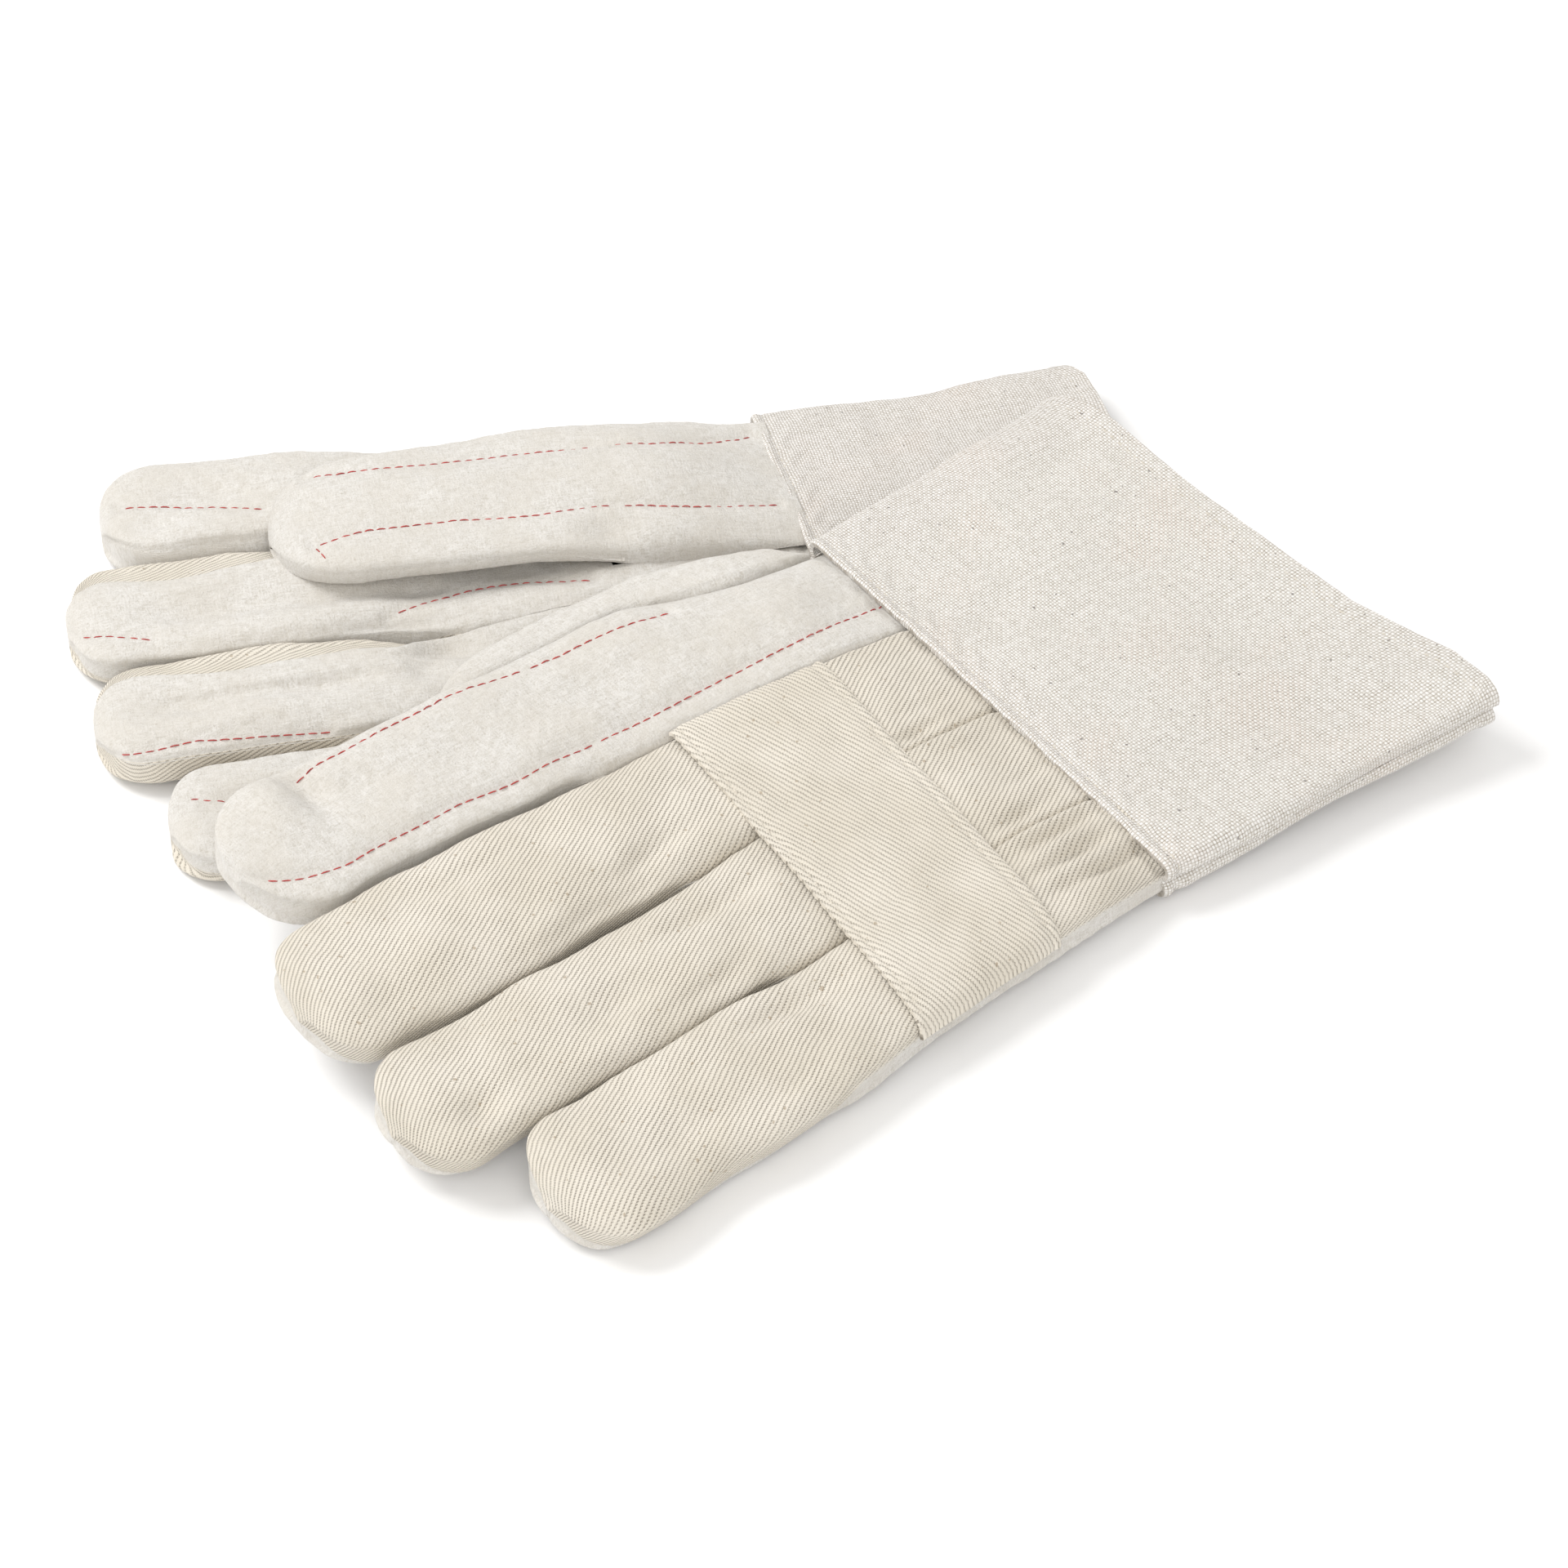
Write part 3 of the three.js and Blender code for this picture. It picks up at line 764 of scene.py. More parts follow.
def cuff_surface(glove, top):
    """One panel: flat across its middle, with sides that roll in to meet the other panel."""
    face = 1 if top else -1

    def base(s, t):
        share = np.clip(s / CUFF_LENGTH, -0.02, 1.02)
        (low_start, high_start), (low_end, high_end) = glove["cuff_sides"]
        low = low_start + (low_end - low_start) * np.clip(share, 0, 1) ** 0.6
        high = high_start + (high_end - high_start) * share
        ceiling, ground = (np.interp(s, CUFF_STATIONS, [glove[heights][i] for i in (0, 1, 1, 2)])
                           for heights in ("cuff_top", "cuff_bottom"))
        half = (ceiling - ground) / 2
        r = (half - CUFF_CROWN) / (1 - math.cos(SIDE_ARC))
        arc = r * SIDE_ARC
        middle = (low + high) / 2
        straight = high - low - 2 * r
        a = t * (straight + 2 * arc)
        psi = np.clip((arc - a) / r, 0, SIDE_ARC) + np.clip((a - arc - straight) / r, 0, SIDE_ARC)
        sign = np.where(a < (arc + straight / 2), -1, 1)
        run = np.clip(a - arc, 0, straight) - straight / 2
        y = middle + run + sign * r * np.sin(psi)
        z = half - CUFF_CROWN * (2 * run / straight) ** 2 - r * (1 - np.cos(psi))
        mouth = np.interp(y, *glove["mouth"])
        x = CUFF_OVERLAP + (mouth - CUFF_OVERLAP) * share
        return point(x, y, (ceiling + ground) / 2 + face * z)

    def relief(s, t):
        y = t * CUFF_SPAN
        seed = CUFF_SEEDS[glove["side"]] + (10 if top else 0)
        edge_on = ease(0, 10, s)
        total = 0.75 * ripple(s, y, seed, 62, 1.8, 70) * edge_on
        total += 0.26 * ripple(s, y, seed + 1, 20, 2.6, 25) * (0.4 + 0.6 * edge_on)
        total += 0.07 * ripple(s, y, seed + 2, 8, 1.6, 50)
        total += 0.30 * bell(s, 1.5, 1.1) - 0.42 * bell(s, WRIST_STITCHING, 1.2)
        total += 0.16 * np.sin(2 * math.pi * (y + 1.5 * s) / 9.5) * bell(s, 6.5, 4.0)
        total -= 0.45 * bell(s, 0, 0.5)
        hem = ease(CUFF_LENGTH - HEM - 0.6, CUFF_LENGTH - HEM + 0.6, s)
        total += 0.35 * hem - 0.4 * bell(s, HEM_STITCHING, 0.8)
        if top and glove["side"] == "left":
            for s0, s1, y0, y1, width, deep in CUFF_CREASES:
                at = np.clip((s - s0) / (s1 - s0), 0, 1)
                fade = ease(s0 - 6, s0 + 10, s) * (1 - ease(s1 - 12, s1 + 4, s))
                total -= deep * fade * bell(y, y0 + (y1 - y0) * at, width)
        away = ease(0, SIDE_FADE, y) * ease(0, SIDE_FADE, CUFF_SPAN - y)
        return total * away - SIDE_SLIT / 2 * (1 - away)

    def flat(s, t):
        return np.stack([s + 0 * t, t * CUFF_SPAN + 0 * s], axis=-1)

    def finish(points):
        cos, sin = math.cos(math.radians(glove["rise"])), math.sin(math.radians(glove["rise"]))
        x, y, z = points[..., 0], points[..., 1], points[..., 2]
        return np.stack([x * cos + z * sin, y, -x * sin + z * cos], -1)

    return Surface(glove, base, relief, -face, None, flat, finish)


# ---- Thumbs. The right one lies full on its palm; the left one is tucked under its palm, and its
# outer edge swells out past the index side.

THUMB_HOLE = (22.0, -58.0, 56.0, -8.0)
RIGHT_THUMB = {"stations": [0, 30, 62, 121, 148], "centre": [-35.0, -35.0, -36.0, -37.0, -37.0],
               "half": [30.0, 31.0, 30.5, 27.0, 27.0], "tip": 148.0}
LEFT_THUMB = {"stations": [0, 11, 28, 47, 69, 95, 120],
              "centre": [-54.0, -59.0, -63.0, -65.5, -66.5, -66.0, -65.0],
              "half": [14.0, 18.2, 21.0, 24.5, 26.5, 26.5, 26.5], "tip": 122.0}
THUMB_ROUND = 27.0
THUMB_POWER = 2.25
THUMB_CUT = 54.0  # the base ends and the free halves start here
THUMB_SEAM = (0.9, 1.7)  # depth and width of the dip along its two seams
RIGHT_RIM = 12.6  # the right thumb's edges lie at this height on the palm
LEFT_HEIGHTS = ([0, 30, 50, 75, 100, 122], [8.0, 9.0, 7.6, 5.6, 4.4, 2.5])  # past the index side


def thumb_outline(thumb, s):
    """x, both edges and how much of its width is left, at a length s along a thumb."""
    turn = thumb["tip"] - THUMB_ROUND
    along = np.sin(np.clip((s - turn) / THUMB_ROUND, 0, math.pi / 2))
    x = np.minimum(s, turn) + THUMB_ROUND * along
    left = np.clip(1 - along**THUMB_POWER, 0, 1) ** (1 / THUMB_POWER)
    centre = np.interp(x, thumb["stations"], thumb["centre"])
    half = np.interp(x, thumb["stations"], thumb["half"]) * left
    return x, centre - half, centre + half, left


def thumb_end(thumb):
    return thumb["tip"] - THUMB_ROUND + THUMB_ROUND * math.pi / 2


def right_thumb_base(s, t, top):
    """A full thumb; its underside runs flat over the palm."""
    x, low, high, left = thumb_outline(RIGHT_THUMB, s)
    y = low + (high - low) * t
    free = ease(40, 78, x)
    rise = ease(-8, 46, x)
    crown = 13.0 + 0.9 * rise + 12.4 * rise * left**0.7
    floor = 13.7 + 1.0 * (1 - left)
    middle = floor + 6.2 * left**0.7
    rim = RIGHT_RIM + (middle - RIGHT_RIM) * free
    if top:
        z = rim + (np.maximum(crown, rim) - rim) * dome(t, np.where(t < 0.5, 0.72, 0.95 - 0.25 * free))
    else:
        z = rim + (floor - rim) * dome(t, 0.7)
    return point(x, y, z)


def left_thumb_base(s, t, top):
    """A pressed thumb under the palm, with a roll past the index side."""
    x, low, high, left = thumb_outline(LEFT_THUMB, s)
    side, _ = section((2 * t - 1) * math.pi / 2, 0.95, 1)
    y = (low + high) / 2 + (high - low) / 2 * side
    index_edge = seam_y(GLOVES["left"], INDEX, x)
    bottom = np.maximum(0.165 * y + 1.0, -12.0) * (0.35 + 0.65 * ease(-2, 34, x))
    swell = ease(index_edge + 1.5, index_edge - 4.5, y)
    upper = -0.5 + (np.interp(x, *LEFT_HEIGHTS) + 0.5) * swell
    rim = np.where(t < 0.5, -2.0, -3.8)
    full = dome(t, 0.62) * left**0.5
    z = rim + ((upper if top else bottom) - rim) * full
    return point(x, y, z)


# The right thumb's quilting lines, as (x, share across) points
THUMB_QUILTING = [
    [(5, 0.13), (20, 0.23), (36, 0.31), (59, 0.29), (85, 0.25), (99, 0.24), (116, 0.22), (126, 0.19),
     (135, 0.10)],
    [(6, 0.72), (36, 0.77), (57, 0.74), (75, 0.76), (97, 0.72), (122, 0.72), (129, 0.74), (137, 0.80)],
]
THUMB_HOLLOW = (2.0, 56, 8, 9, 6)  # where it bends: depth, x, length, distance from the edge, width
THUMB_HOOK = ((137, 0.81), (134, 0.95))  # the near line turns back here, towards the side seam


def thumb_length(thumb, x):
    """The length along a thumb at x."""
    return length_at(x, thumb["tip"], THUMB_ROUND)


def thumb_surface(side, top):
    glove = GLOVES[side]
    thumb = RIGHT_THUMB if side == "right" else LEFT_THUMB
    shape = right_thumb_base if side == "right" else left_thumb_base
    seed = THUMB_SEEDS[side]

    def base(s, t):
        return shape(s, t, top)

    def relief(s, t):
        x, low, high, left = thumb_outline(thumb, s)
        y = low + (high - low) * t
        arc = np.maximum(high - low, 4) * 1.2
        total = 0.5 * ripple(x, y, seed, 40, 1.6) + 0.14 * ripple(x, y, seed + 1, 14, 2.0, 5)
        total = (total + 0.09 * ripple(x, y, seed + 2, 5.5)) * left**0.5
        deep, wide = THUMB_SEAM
        total -= deep * (bell(t * arc, 0, wide) + bell((1 - t) * arc, 0, wide))
        if side == "right" and top:
            for points in THUMB_QUILTING:
                total -= quilted_depth(points, x, t, arc)
            deep, at, long, beside, wide = THUMB_HOLLOW
            total -= deep * bell(x, at, long) * bell((1 - t) * arc, beside, wide)
        return total

    return Surface(glove, base, relief, 1 if top else -1)


# ---- Materials


class Graph:
    """Short names for the shader nodes that the cloth materials are made of."""

    def __init__(self, name):
        self.material = bpy.data.materials.new(name)
        self.material.use_nodes = True
        self.nodes = self.material.node_tree.nodes
        self.links = self.material.node_tree.links
        self.shader = self.nodes["Principled BSDF"]

    def put(self, socket, value):
        if isinstance(value, bpy.types.NodeSocket):
            self.links.new(value, socket)
        elif isinstance(value, tuple) and socket.type == "RGBA":
            socket.default_value = (*value, 1.0)
        else:
            socket.default_value = value

    def node(self, kind, inputs, **settings):
        """A new node; inputs are given by name or number."""
        node = self.nodes.new("ShaderNode" + kind)
        for name, value in settings.items():
            setattr(node, name, value)
        for name, value in inputs.items():
            self.put(node.inputs[name], value)
        return node

    def math(self, operation, a, b=0.0):
        return self.node("Math", {0: a, 1: b}, operation=operation).outputs[0]

    def add(self, a, b):
        return self.math("ADD", a, b)

    def times(self, a, b):
        return self.math("MULTIPLY", a, b)

    def remap(self, value, low, high, to_low=0.0, to_high=1.0):
        inputs = dict(enumerate((value, low, high, to_low, to_high)))
        return self.node("MapRange", inputs, interpolation_type="SMOOTHSTEP").outputs[0]

    def mix(self, share, a, b):
        return self.node("Mix", {0: share, 6: a, 7: b}, data_type="RGBA").outputs[2]

    def in_mm(self, vector):
        return self.node("VectorMath", {0: vector, "Scale": 1 / MM}, operation="SCALE").outputs[0]

    def flat_mm(self):
        """Where a point was on the flat cloth, in millimetres."""
        return self.in_mm(self.node("UVMap", {}, uv_map="UVMap").outputs[0])

    def apart(self, vector):
        split = self.node("SeparateXYZ", {0: vector})
        return split.outputs[0], split.outputs[1]

    def turned(self, vector, degrees):
        """The coordinates along and across a direction in the cloth."""
        inputs = {"Vector": vector, "Angle": -math.radians(degrees)}
        return self.apart(self.node("VectorRotate", inputs, rotation_type="Z_AXIS").outputs[0])

    def noise(self, vector, per_mm, detail=2.0, rough=0.5, stretch=None, distort=0.0):
        if stretch:
            scale, turn = (stretch[0], stretch[1], 1), (0, 0, math.radians(stretch[2]))
            vector = self.node("Mapping", {0: vector, "Scale": scale, "Rotation": turn}).outputs[0]
        inputs = {"Vector": vector, "Scale": per_mm, "Detail": detail, "Roughness": rough,
                  "Distortion": distort}
        return self.node("TexNoise", inputs, noise_dimensions="3D").outputs["Fac"]

    def finish(self, colour, roughness, height, depth_mm, sheen, sheen_roughness=0.5, strength=1.0):
        bump = self.node("Bump", {"Distance": depth_mm * MM, "Strength": strength, "Height": height})
        surface = {
            "Base Color": colour, "Roughness": roughness, "Normal": bump.outputs[0],
            "Specular IOR Level": 0.25, "Sheen Weight": sheen, "Sheen Roughness": sheen_roughness,
        }
        for name, value in surface.items():
            self.put(self.shader.inputs[name], value)
        return self.material


# Fleece colours: painted shade for the nap's hollows, a painted lit colour for its tops, mottling, and
# seed-husk specks
FLEECE_COLOURS = (
    (0.500, 0.465, 0.404), (0.752, 0.730, 0.696), (0.622, 0.582, 0.516), (0.40, 0.35, 0.28),
)
# Twill colours: dull, bright and fuzzy yarn, painted shade for the gaps between yarns, and seed-husk specks
TWILL_COLOURS = (
    (0.680, 0.630, 0.542), (0.750, 0.702, 0.622), (0.62, 0.56, 0.46), (0.100, 0.078, 0.048),
    (0.34, 0.26, 0.17),
)
# Duck colours: dull, bright, pinkish and pale yarn, painted shade for the gaps between yarns, and dark
# flecks
DUCK_COLOURS = (
    (0.670, 0.640, 0.597), (0.765, 0.738, 0.706), (0.735, 0.665, 0.612), (0.880, 0.865, 0.845),
    (0.300, 0.255, 0.195), (0.17, 0.15, 0.14),
)
# Lining colours: dull and bright yarn, painted shade for the gaps between yarns, and pale yarn
LINING_COLOURS = (
    (0.74, 0.70, 0.62), (0.82, 0.78, 0.71), (0.42, 0.38, 0.32), (0.80, 0.76, 0.68),
)
YARN_CROSSING = 0.80  # mm between the gaps along a groove of the twill


def fleece_material():
    """Napped cotton: soft tufts, loose fibres and faint grey-cream mottling, with painted shade in the nap's
    hollows and a paler painted lit colour on its tops.
    """
    g = Graph("fleece_cotton")
    at = g.flat_mm()
    nap = g.noise(at, 1.9, 4, 0.72)
    tufts = g.noise(at, 0.42, 3, 0.6, distort=0.5)
    fibres = g.noise(at, 1.5, 2, 0.6, stretch=(0.20, 1.0, 35))
    cross_fibres = g.noise(at, 1.5, 2, 0.6, stretch=(1.0, 0.22, -20))
    broad = g.noise(at, 0.050, 3, 0.55)
    loft = g.add(g.times(nap, 0.50), g.add(g.times(tufts, 0.22), g.times(g.add(fibres, cross_fibres), 0.24)))
    nap_shade, nap_lit, mottled, seed_husk = FLEECE_COLOURS
    # painted shade where the nap is low and a painted lit colour where it is high, following the bump height
    colour = g.mix(g.remap(loft, 0.38, 0.74), nap_shade, nap_lit)
    colour = g.mix(g.remap(broad, 0.38, 0.66, 0.0, 0.45), colour, mottled)
    colour = g.mix(g.remap(g.noise(at, 0.75, 1, 0.4), 0.70, 0.78, 0.0, 0.35), colour, seed_husk)
    roughness = g.remap(loft, 0.3, 0.8, 0.98, 0.86)
    return g.finish(colour, roughness, loft, 0.8, 0.25, 0.6, 0.85)


def twill_material(name, grain, pitch, contrast):
    """Cotton drill: steep diagonal wales with a row of small gaps between each two, painted dark as shade.
    """
    g = Graph(name)
    at = g.flat_mm()
    along, across_wale = g.turned(at, grain)
    wobble = g.add(g.noise(at, 0.10, 2, 0.5), g.times(g.noise(at, 0.6, 2, 0.5), 0.30))
    place = g.math("DIVIDE", g.add(across_wale, g.times(wobble, 0.9)), pitch)
    part = g.math("FRACT", place)
    beside = g.math("ABSOLUTE", g.add(part, -0.5))
    ridge = g.remap(beside, 0.50, 0.18)
    groove = g.remap(beside, 0.24, 0.43)
    row = g.math("FLOOR", place)
    beat = g.add(g.math("DIVIDE", along, YARN_CROSSING), g.times(row, 0.37))
    yarn = g.math("SINE", g.times(beat, 2 * math.pi))
    fuzz = g.noise(at, 2.4, 3, 0.65)
    twist = g.math("SINE", g.times(g.add(beat, g.times(part, 1.2)), 4 * math.pi))
    height = g.add(g.times(ridge, 0.7), g.add(g.times(yarn, 0.12), g.times(fuzz, 0.30)))
    height = g.add(height, g.times(twist, 0.05))
    # the gaps between the yarns in each groove get painted shade
    gap = g.times(groove, g.remap(yarn, -0.30, 0.50, 0.04, 1.0))
    gap = g.times(gap, g.remap(fuzz, 0.3, 0.7, 1.0, 0.6))
    gap = g.times(gap, g.remap(g.noise(at, 0.12, 2, 0.5), 0.35, 0.65, 0.75 * contrast, contrast))
    broad = g.noise(at, 0.035, 3, 0.55)
    dull, bright, fuzzy, yarn_gap_shade, seed_husk = TWILL_COLOURS
    light = g.mix(g.remap(broad, 0.35, 0.68), dull, bright)
    light = g.mix(g.remap(fuzz, 0.3, 0.75, 0.0, 0.35), light, fuzzy)
    colour = g.mix(gap, light, yarn_gap_shade)
    colour = g.mix(g.remap(g.noise(at, 0.5, 1, 0.3), 0.74, 0.78, 0.0, 0.6), colour, seed_husk)
    return g.finish(colour, g.remap(ridge, 0, 1, 0.95, 0.82), height, 0.36 * contrast, 0.15, 0.45, 0.85)


def woven_height(g, at, pitch, wander):
    """A plain weave: each yarn passes over one and under the next."""
    drift = g.times(g.noise(at, 0.09, 2, 0.5), wander)
    u, v = (g.math("DIVIDE", g.add(part, drift), pitch) for part in g.apart(at))
    over = g.math("PINGPONG", g.add(g.math("FLOOR", u), g.math("FLOOR", v)), 1.0)
    across_u, across_v = (g.math("ABSOLUTE", g.add(g.math("FRACT", part), -0.5)) for part in (u, v))
    warp = g.times(g.remap(across_u, 0.52, 0.12), g.remap(across_v, 0.62, 0.10))
    weft = g.times(g.remap(across_v, 0.52, 0.12), g.remap(across_u, 0.62, 0.10))
    lifted = g.add(g.times(warp, over), g.times(weft, g.math("SUBTRACT", 1.0, over)))
    return lifted, over


def duck_material():
    """Plain-weave cotton duck: fine pale dots, pinkish patches, a few dark flecks, and painted shade in the
    gaps between yarns.
    """
    g = Graph("duck_cotton")
    at = g.flat_mm()
    lifted, over = woven_height(g, at, 0.84, 1.6)
    fuzz = g.noise(at, 2.2, 3, 0.65)
    slub_u = g.noise(at, 0.42, 2, 0.6, stretch=(0.10, 1.5, 0))
    slub_v = g.noise(at, 0.42, 2, 0.6, stretch=(1.5, 0.10, 0))
    slub = g.times(g.add(slub_u, slub_v), 0.5)
    height = g.add(g.times(lifted, 0.75), g.add(g.times(fuzz, 0.25), g.times(slub, 0.25)))
    dull, bright, pinkish, pale, yarn_gap_shade, dark_fleck = DUCK_COLOURS
    light = g.mix(g.remap(slub, 0.36, 0.62), dull, bright)
    light = g.mix(g.remap(g.noise(at, 0.026, 3, 0.6), 0.46, 0.68, 0.0, 0.65), light, pinkish)
    light = g.mix(g.times(over, 0.65), light, pale)
    # painted shade where the yarns are low, in the gaps of the weave
    gap = g.remap(lifted, 0.50, 0.08, 0.0, 0.85)
    gap = g.times(gap, g.remap(g.noise(at, 0.5, 2, 0.5), 0.3, 0.7, 0.55, 1.0))
    colour = g.mix(gap, light, yarn_gap_shade)
    colour = g.mix(g.remap(g.noise(at, 0.62, 2, 0.4), 0.715, 0.75, 0.0, 0.75), colour, dark_fleck)
    return g.finish(colour, g.remap(lifted, 0, 1, 0.94, 0.82), height, 0.24, 0.12, 0.45, 0.85)


def lining_material():
    """The plain inner cloth of the double palm, with painted shade in the gaps between its yarns."""
    g = Graph("lining_cotton")
    at = g.flat_mm()
    lifted, over = woven_height(g, at, 0.9, 1.2)
    fuzz = g.noise(at, 2.6, 3, 0.6)
    height = g.add(g.times(lifted, 0.7), g.times(fuzz, 0.35))
    dull, bright, yarn_gap_shade, pale = LINING_COLOURS
    light = g.mix(g.remap(g.noise(at, 0.05, 2, 0.5), 0.35, 0.65), dull, bright)
    # painted shade where the yarns are low, in the gaps of the weave
    colour = g.mix(g.remap(lifted, 0.4, 0.05, 0.0, 0.5), light, yarn_gap_shade)
    colour = g.mix(g.times(over, 0.12), colour, pale)
    return g.finish(colour, 0.93, height, 0.22, 0.15, 0.5, 0.8)


def thread_material(name, dark, light):
    """Spun sewing thread, a little hairy and unevenly dyed."""
    g = Graph(name)
    at = g.in_mm(g.node("TexCoord", {}).outputs["Object"])
    ply = g.noise(at, 3.2, 2, 0.6)
    dye = g.noise(at, 0.4, 2, 0.5)
    colour = g.mix(g.remap(g.add(g.times(ply, 0.6), g.times(dye, 0.4)), 0.35, 0.65), dark, light)
    return g.finish(colour, g.remap(ply, 0.3, 0.7, 0.8, 0.62), ply, 0.10, 0.2, 0.4, 0.8)


FLEECE = fleece_material()
TWILL = twill_material("twill_cotton", 29, 1.22, 1.0)
STRAP_TWILL = twill_material("twill_cotton_turned", 113, 1.32, 0.90)
DUCK = duck_material()
LINING = lining_material()
RED_THREAD = thread_material("thread_red", (0.300, 0.022, 0.024), (0.560, 0.075, 0.062))
CREAM_THREAD = thread_material("thread_cream", (0.56, 0.51, 0.43), (0.72, 0.68, 0.60))

# Each kind of cloth: its material, thickness, and slot
CLOTHS = {
    "fleece": (FLEECE, CLOTH, "fleece"),
    "twill": (TWILL, CLOTH, "twill"),
    "strap": (STRAP_TWILL, STRAP_CLOTH, "twill"),
    "duck": (DUCK, DUCK_CLOTH, "duck"),
    "lining": (LINING, LINING_CLOTH, "lining"),
}


# ---- The two gloves


def place(piece, glove, bodies, span=None):
    """Makes a piece move with one body; a piece given two bodies only has its transform baked in."""
    if len(bodies) == 1 or bodies[0] == bodies[1]:
        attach(piece, bodies[0])
        return
    start, end = (to_row(glove, (x, span[2], span[3])) for x in span[:2])
    tuple(start)
    tuple(end)
    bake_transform(piece)


def flat_size(piece):
    """Width, length and area of a piece's outer cloth on the flat, in metres."""
    uv = np.zeros(len(piece.data.loops) * 2)
    piece.data.uv_layers[0].data.foreach_get("uv", uv)
    uv = uv.reshape(-1, 2)
    area = 0.0
    for face in list(piece.data.polygons)[: int(piece["outer_faces"])]:
        ring = uv[face.loop_start : face.loop_start + face.loop_total]
        ahead = np.roll(ring, -1, axis=0)
        area += abs(np.sum(ring[:, 0] * ahead[:, 1] - ahead[:, 0] * ring[:, 1])) / 2
    size = uv.max(axis=0) - uv.min(axis=0)
    width = max(size[1], area / size[0] * 1.001)
    return (float(width), float(size[0])), float(area)


def cloth(glove, name, patches, kind, bodies, span=None, fill=None, part=None):
    """One cloth piece, placed on its bodies, with the part it stands for hidden."""
    material, thickness, slot = CLOTHS[kind]
    piece = shell(f"{name}_cloth", patches, material, thickness)
    place(piece, glove, bodies, span)
    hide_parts(part or name)
    if fill is None:
        size, area = flat_size(piece)


def sewn(glove, name, runs, thread, bodies, span=None, **size):
    """The stitches of one seam, which move with its cloth."""
    seam = stitches(name, runs, thread, **size)
    place(seam, glove, bodies, span)


def across_at(surface, s_values, share):
    """Runs of stitches straight across a surface."""
    return [(surface, np.full(share.shape, s), share) for s in s_values]


def hand_body(glove):
    return f"{glove['side']}_hand"


def finger_bend(glove, k):
    """The bodies on either side of a finger's bend, and where the bend starts and ends."""
    cut = glove["cuts"][k]
    span = (cut, cut + BEND_LEAD + BEND_REACH, 0.0, glove["hand"])
    return (hand_body(glove), glove["finger_body"][k]), span


FINGER_FILL = 0.3
PALM_FILL = 0.2


def build_fingers(glove, surfaces):
    palm_top = glove["palm_up"]
    for k, finger in enumerate(FINGERS):
        cut, end = glove["cuts"][k], strip_end(glove, k)
        bodies, span = finger_bend(glove, k)
        hand = bodies[:1]
        name = f"{glove['side']}_{finger['name']}"

        def patches(faces, start, stop, k=k):
            return [surfaces[k, top].patch(rows(start, stop), across()) for top in faces]

        if k == INDEX:
            both = (True, False)
            cloth(glove, f"{name}_wrap", patches(both, 0, cut), "fleece", hand, fill=FINGER_FILL)
            cloth(glove, f"{name}_finger", patches(both, cut, end), "fleece", bodies, span, FINGER_FILL)
            continue
        back, palm = [not palm_top], [palm_top]
        cloth(glove, f"{name}_finger_back", patches(back, cut, end), "twill", bodies, span)
        cloth(glove, f"{name}_finger_palm", patches(palm, cut, end), "fleece", bodies, span, FINGER_FILL)
        cloth(glove, f"{name}_back", patches(back, 0, cut), "twill", hand, part=f"{name}_back_strip")


LINING_DEPTH = 2.1  # below the palm's outer face
LINING_SPAN = (4.5, 90)
LINING_MARGINS = (0.06, 0.86)  # it ends this far across the middle and the little finger's strip


def build_palm(glove, surfaces):
    """The palm panel and its lining; the right one is open where the thumb's base is set in."""
    top = glove["palm_up"]
    side, hand = glove["side"], [hand_body(glove)]
    panel, lining = [], []
    for k in (MIDDLE, RING, LITTLE):
        surface = surfaces[k, top]

        def keep(s, t, k=k):
            x, low, high, _ = strip_outline(glove, k, s)
            y = low + (high - low) * t
            x0, y0, x1, y1 = THUMB_HOLE
            return ~((x > x0) & (x < x1) & (y > y0) & (y < y1))

        def below_dents(s, t, k=k):
            x, low, high, _ = strip_outline(glove, k, s)
            return -LINING_DEPTH - np.maximum(dent_depth(glove, k, top, x, t, strip_arc(low, high)), 0)

        share = across()
        inner = Surface(glove, surface.base, below_dents, surface.face, lambda s, t: 1 + 0 * (s + t))
        kept = keep if top else None
        panel.append(surface.patch(rows(0, glove["cuts"][k]), share, kept))
        if k == MIDDLE:
            share = share[share > LINING_MARGINS[0]]
        if k == LITTLE:
            share = share[share < LINING_MARGINS[1]]
        lining.append(inner.patch(rows(*LINING_SPAN), share, kept))
    cloth(glove, f"{side}_palm_panel", panel, "fleece", hand, fill=PALM_FILL)
    cloth(glove, f"{side}_palm_lining", lining, "lining", hand)


def build_strap(glove):
    side, hand = glove["side"], [hand_body(glove)]
    surface = strap_surface(glove)
    ends = np.array([0.3, 0.7, 1.2, 1.8]) / STRAP_LENGTH
    columns = np.unique(np.concatenate([np.linspace(0, 1, 150), ends, 1 - ends]))
    lengths = np.unique(np.concatenate([np.linspace(0, STRAP_WIDTH, 42), [0.4, 0.8, 47.7, 48.1]]))
    cloth(glove, f"{side}_knuckle_strap", [surface.patch(lengths, columns)], "strap", hand)
    runs = across_at(surface, STRAP_STITCHING, np.linspace(0.012, 0.988, 90))
    size = {"length": 2.3, "gap": 0.7, "radius": 0.21, "sink": 0.0}
    sewn(glove, f"{side}_strap_topstitching", runs, CREAM_THREAD, hand, **size)


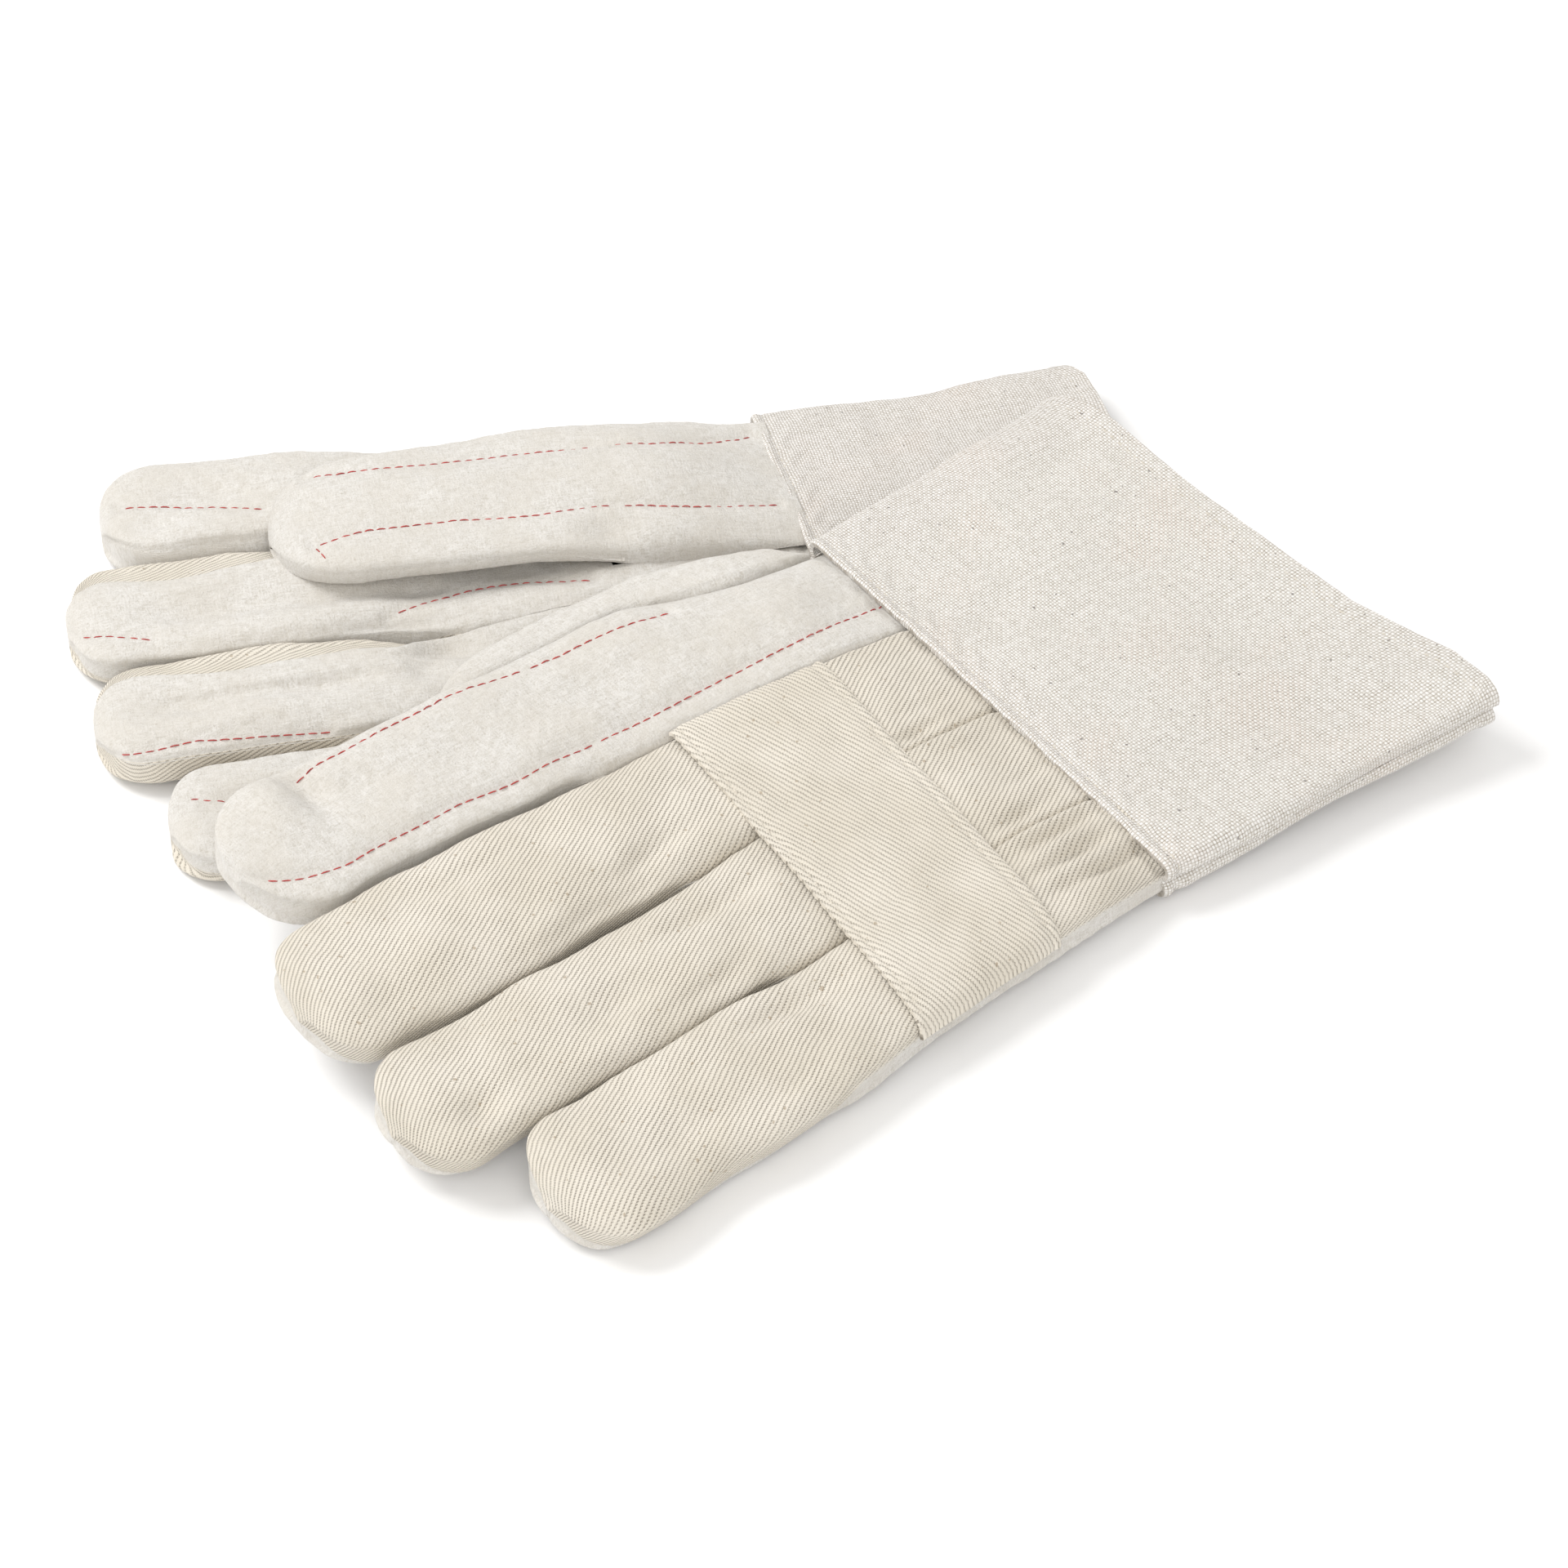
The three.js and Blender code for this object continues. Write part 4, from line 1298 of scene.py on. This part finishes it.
def build_cuff(glove):
    """Both panels of a gauntlet, each with its topstitching."""
    side, hand = glove["side"], hand_body(glove)
    bodies = (hand, f"{side}_cuff" if side == "left" else hand)
    span = (3.0, -27.0, 4.0, 13.0)
    fine = [0.4, 0.9, 1.4, 2.0, 2.5, 3.0, 3.4, 3.9, 4.5]
    lengths = np.unique(np.concatenate([np.linspace(0, CUFF_LENGTH, 66), fine]))
    near_sides = np.linspace(0, 7.9, 8) / CUFF_ARC_SPAN
    columns = np.unique(np.concatenate([np.linspace(0.05, 0.95, 92), near_sides, 1 - near_sides]))
    for face in ("palm", "back"):
        name = f"{side}_cuff_{face}"
        surface = cuff_surface(glove, (face == "palm") == glove["palm_up"])
        cloth(glove, name, [surface.patch(lengths, columns)], "duck", bodies, span)
        runs = across_at(surface, (WRIST_STITCHING, HEM_STITCHING), np.linspace(0.02, 0.98, 120))
        size = {"length": 2.4, "gap": 0.8, "radius": 0.19, "sink": 0.14}
        sewn(glove, f"{name}_topstitching", runs, CREAM_THREAD, bodies, span, **size)


def build_thumb(glove):
    side, hand = glove["side"], hand_body(glove)
    right = side == "right"
    thumb = RIGHT_THUMB if right else LEFT_THUMB
    bodies = (hand, "right_thumb" if right else hand)
    span = (THUMB_CUT, THUMB_CUT + BEND_LEAD + BEND_REACH, -33.0, 25.9)
    upper, lower = thumb_surface(side, True), thumb_surface(side, False)
    outer, inner = (upper, lower) if right else (lower, upper)
    for part, surfaces, start, end, held_by in (
        ("base", (upper,) if right else (upper, lower), 0, THUMB_CUT, bodies[:1]),
        ("outer", (outer,), THUMB_CUT, thumb_end(thumb), bodies),
        ("inner", (inner,), THUMB_CUT, thumb_end(thumb), bodies),
    ):
        patches = [surface.patch(rows(start, end), across(THUMB_COLUMNS)) for surface in surfaces]
        cloth(glove, f"{side}_thumb_{part}", patches, "fleece", held_by, span, FINGER_FILL)
    if not right:
        return
    for name, x0, x1, held_by in (("base", 0, THUMB_CUT, bodies[:1]), ("free", THUMB_CUT, math.inf, bodies)):
        runs = []
        for points in THUMB_QUILTING:
            x = np.arange(max(x0, points[0][0]), min(x1, points[-1][0]) + 0.1, 1.5)
            runs.append((upper, thumb_length(thumb, x), line_at(points, x)[0]))
        if name == "free":
            x, share = (np.linspace(*ends, 12) for ends in zip(*THUMB_HOOK))
            runs.append((upper, thumb_length(thumb, x), share))
        sewn(glove, f"right_thumb_{name}_quilting", runs, RED_THREAD, held_by, span)


SHORTEST_LINE = 4  # a quilting line's part that is shorter than this has no stitches


def build_quilting(glove, surfaces):
    """The red lines: those on the hand are one piece, and each finger's are another."""
    side = glove["side"]
    hand_runs = []
    for k, finger in enumerate(FINGERS):
        cut = glove["cuts"][k]
        bodies, span = finger_bend(glove, k)
        runs = []
        for name, on_top, points in QUILTING[side]:
            if name != finger["name"]:
                continue
            for x0, x1, group in ((0, cut, hand_runs), (cut, math.inf, runs)):
                first, last = max(x0, points[0][0]), min(x1, points[-1][0])
                if last - first > SHORTEST_LINE:
                    x = np.arange(first, last + 0.1, 1.0)
                    s = length_at(x, finger_tip(glove, k), finger["round"])
                    group.append((surfaces[k, on_top], s, line_at(points, x)[0]))
        if runs:
            sewn(glove, f"{side}_{finger['name']}_finger_quilting", runs, RED_THREAD, bodies, span)
    sewn(glove, f"{side}_hand_quilting", hand_runs, RED_THREAD, [hand_body(glove)])


for glove in GLOVES.values():
    strips = {(k, top): strip(glove, k, top) for k in range(4) for top in (True, False)}
    build_fingers(glove, strips)
    build_palm(glove, strips)
    build_strap(glove)
    build_cuff(glove)
    build_thumb(glove)
    build_quilting(glove, strips)


# ---- Table, light and camera


def table_material():
    g = Graph("pale_table")
    grain = g.noise(g.node("TexCoord", {}).outputs["Object"], 4.0, 2, 0.5)
    g.put(g.shader.inputs["Base Color"], g.mix(grain, (0.93, 0.93, 0.935), (0.95, 0.95, 0.95)))
    g.put(g.shader.inputs["Roughness"], 0.6)
    return g.material


def build_table():
    mesh = bpy.data.meshes.new("table")
    reach = 12.0
    corners = [(-reach, -reach, 0), (reach, -reach, 0), (reach, reach, 0), (-reach, reach, 0)]
    mesh.from_pydata(corners, [], [(0, 1, 2, 3)])
    table = new_object("table", mesh, table_material())


def area_light(name, towards, distance, size, power):
    data = bpy.data.lights.new(name, "AREA")
    data.shape = "DISK"
    data.size = size
    data.energy = power
    lamp = bpy.data.objects.new(name, data)
    direction = Vector(towards).normalized()
    lamp.location = direction * distance
    lamp.rotation_euler = direction.to_track_quat("Z", "Y").to_euler()
    bpy.context.collection.objects.link(lamp)


def build_light():
    world = bpy.data.worlds.new("studio")
    world.use_nodes = True
    background = world.node_tree.nodes["Background"]
    background.inputs["Color"].default_value = (1.0, 0.985, 0.962, 1)
    background.inputs["Strength"].default_value = 0.76
    bpy.context.scene.world = world
    area_light("key", towards=(-0.75, 0.50, 1.05), distance=1.8, size=1.0, power=19)
    area_light("fill", towards=(-0.25, -1.0, 0.75), distance=2.0, size=1.6, power=14)
    bpy.context.scene.view_settings.view_transform = "Standard"


CAMERA_AZIMUTH = math.radians(14.32)
CAMERA_ELEVATION = math.radians(40.53)
CAMERA_DISTANCE = 1.066
CAMERA_AIM = Vector((-0.0027, -0.0021, 0.0))


def build_camera():
    data = bpy.data.cameras.new("camera")
    data.sensor_width = 36
    data.lens = 92.6
    data.clip_end = 60
    camera = bpy.data.objects.new("camera", data)
    flat, up = math.cos(CAMERA_ELEVATION), math.sin(CAMERA_ELEVATION)
    away = Vector((-flat * math.sin(CAMERA_AZIMUTH), -flat * math.cos(CAMERA_AZIMUTH), up))
    camera.location = CAMERA_AIM + away * CAMERA_DISTANCE
    camera.rotation_euler = away.to_track_quat("Z", "Y").to_euler()
    bpy.context.collection.objects.link(camera)
    bpy.context.scene.camera = camera


build_table()
build_light()
build_camera()
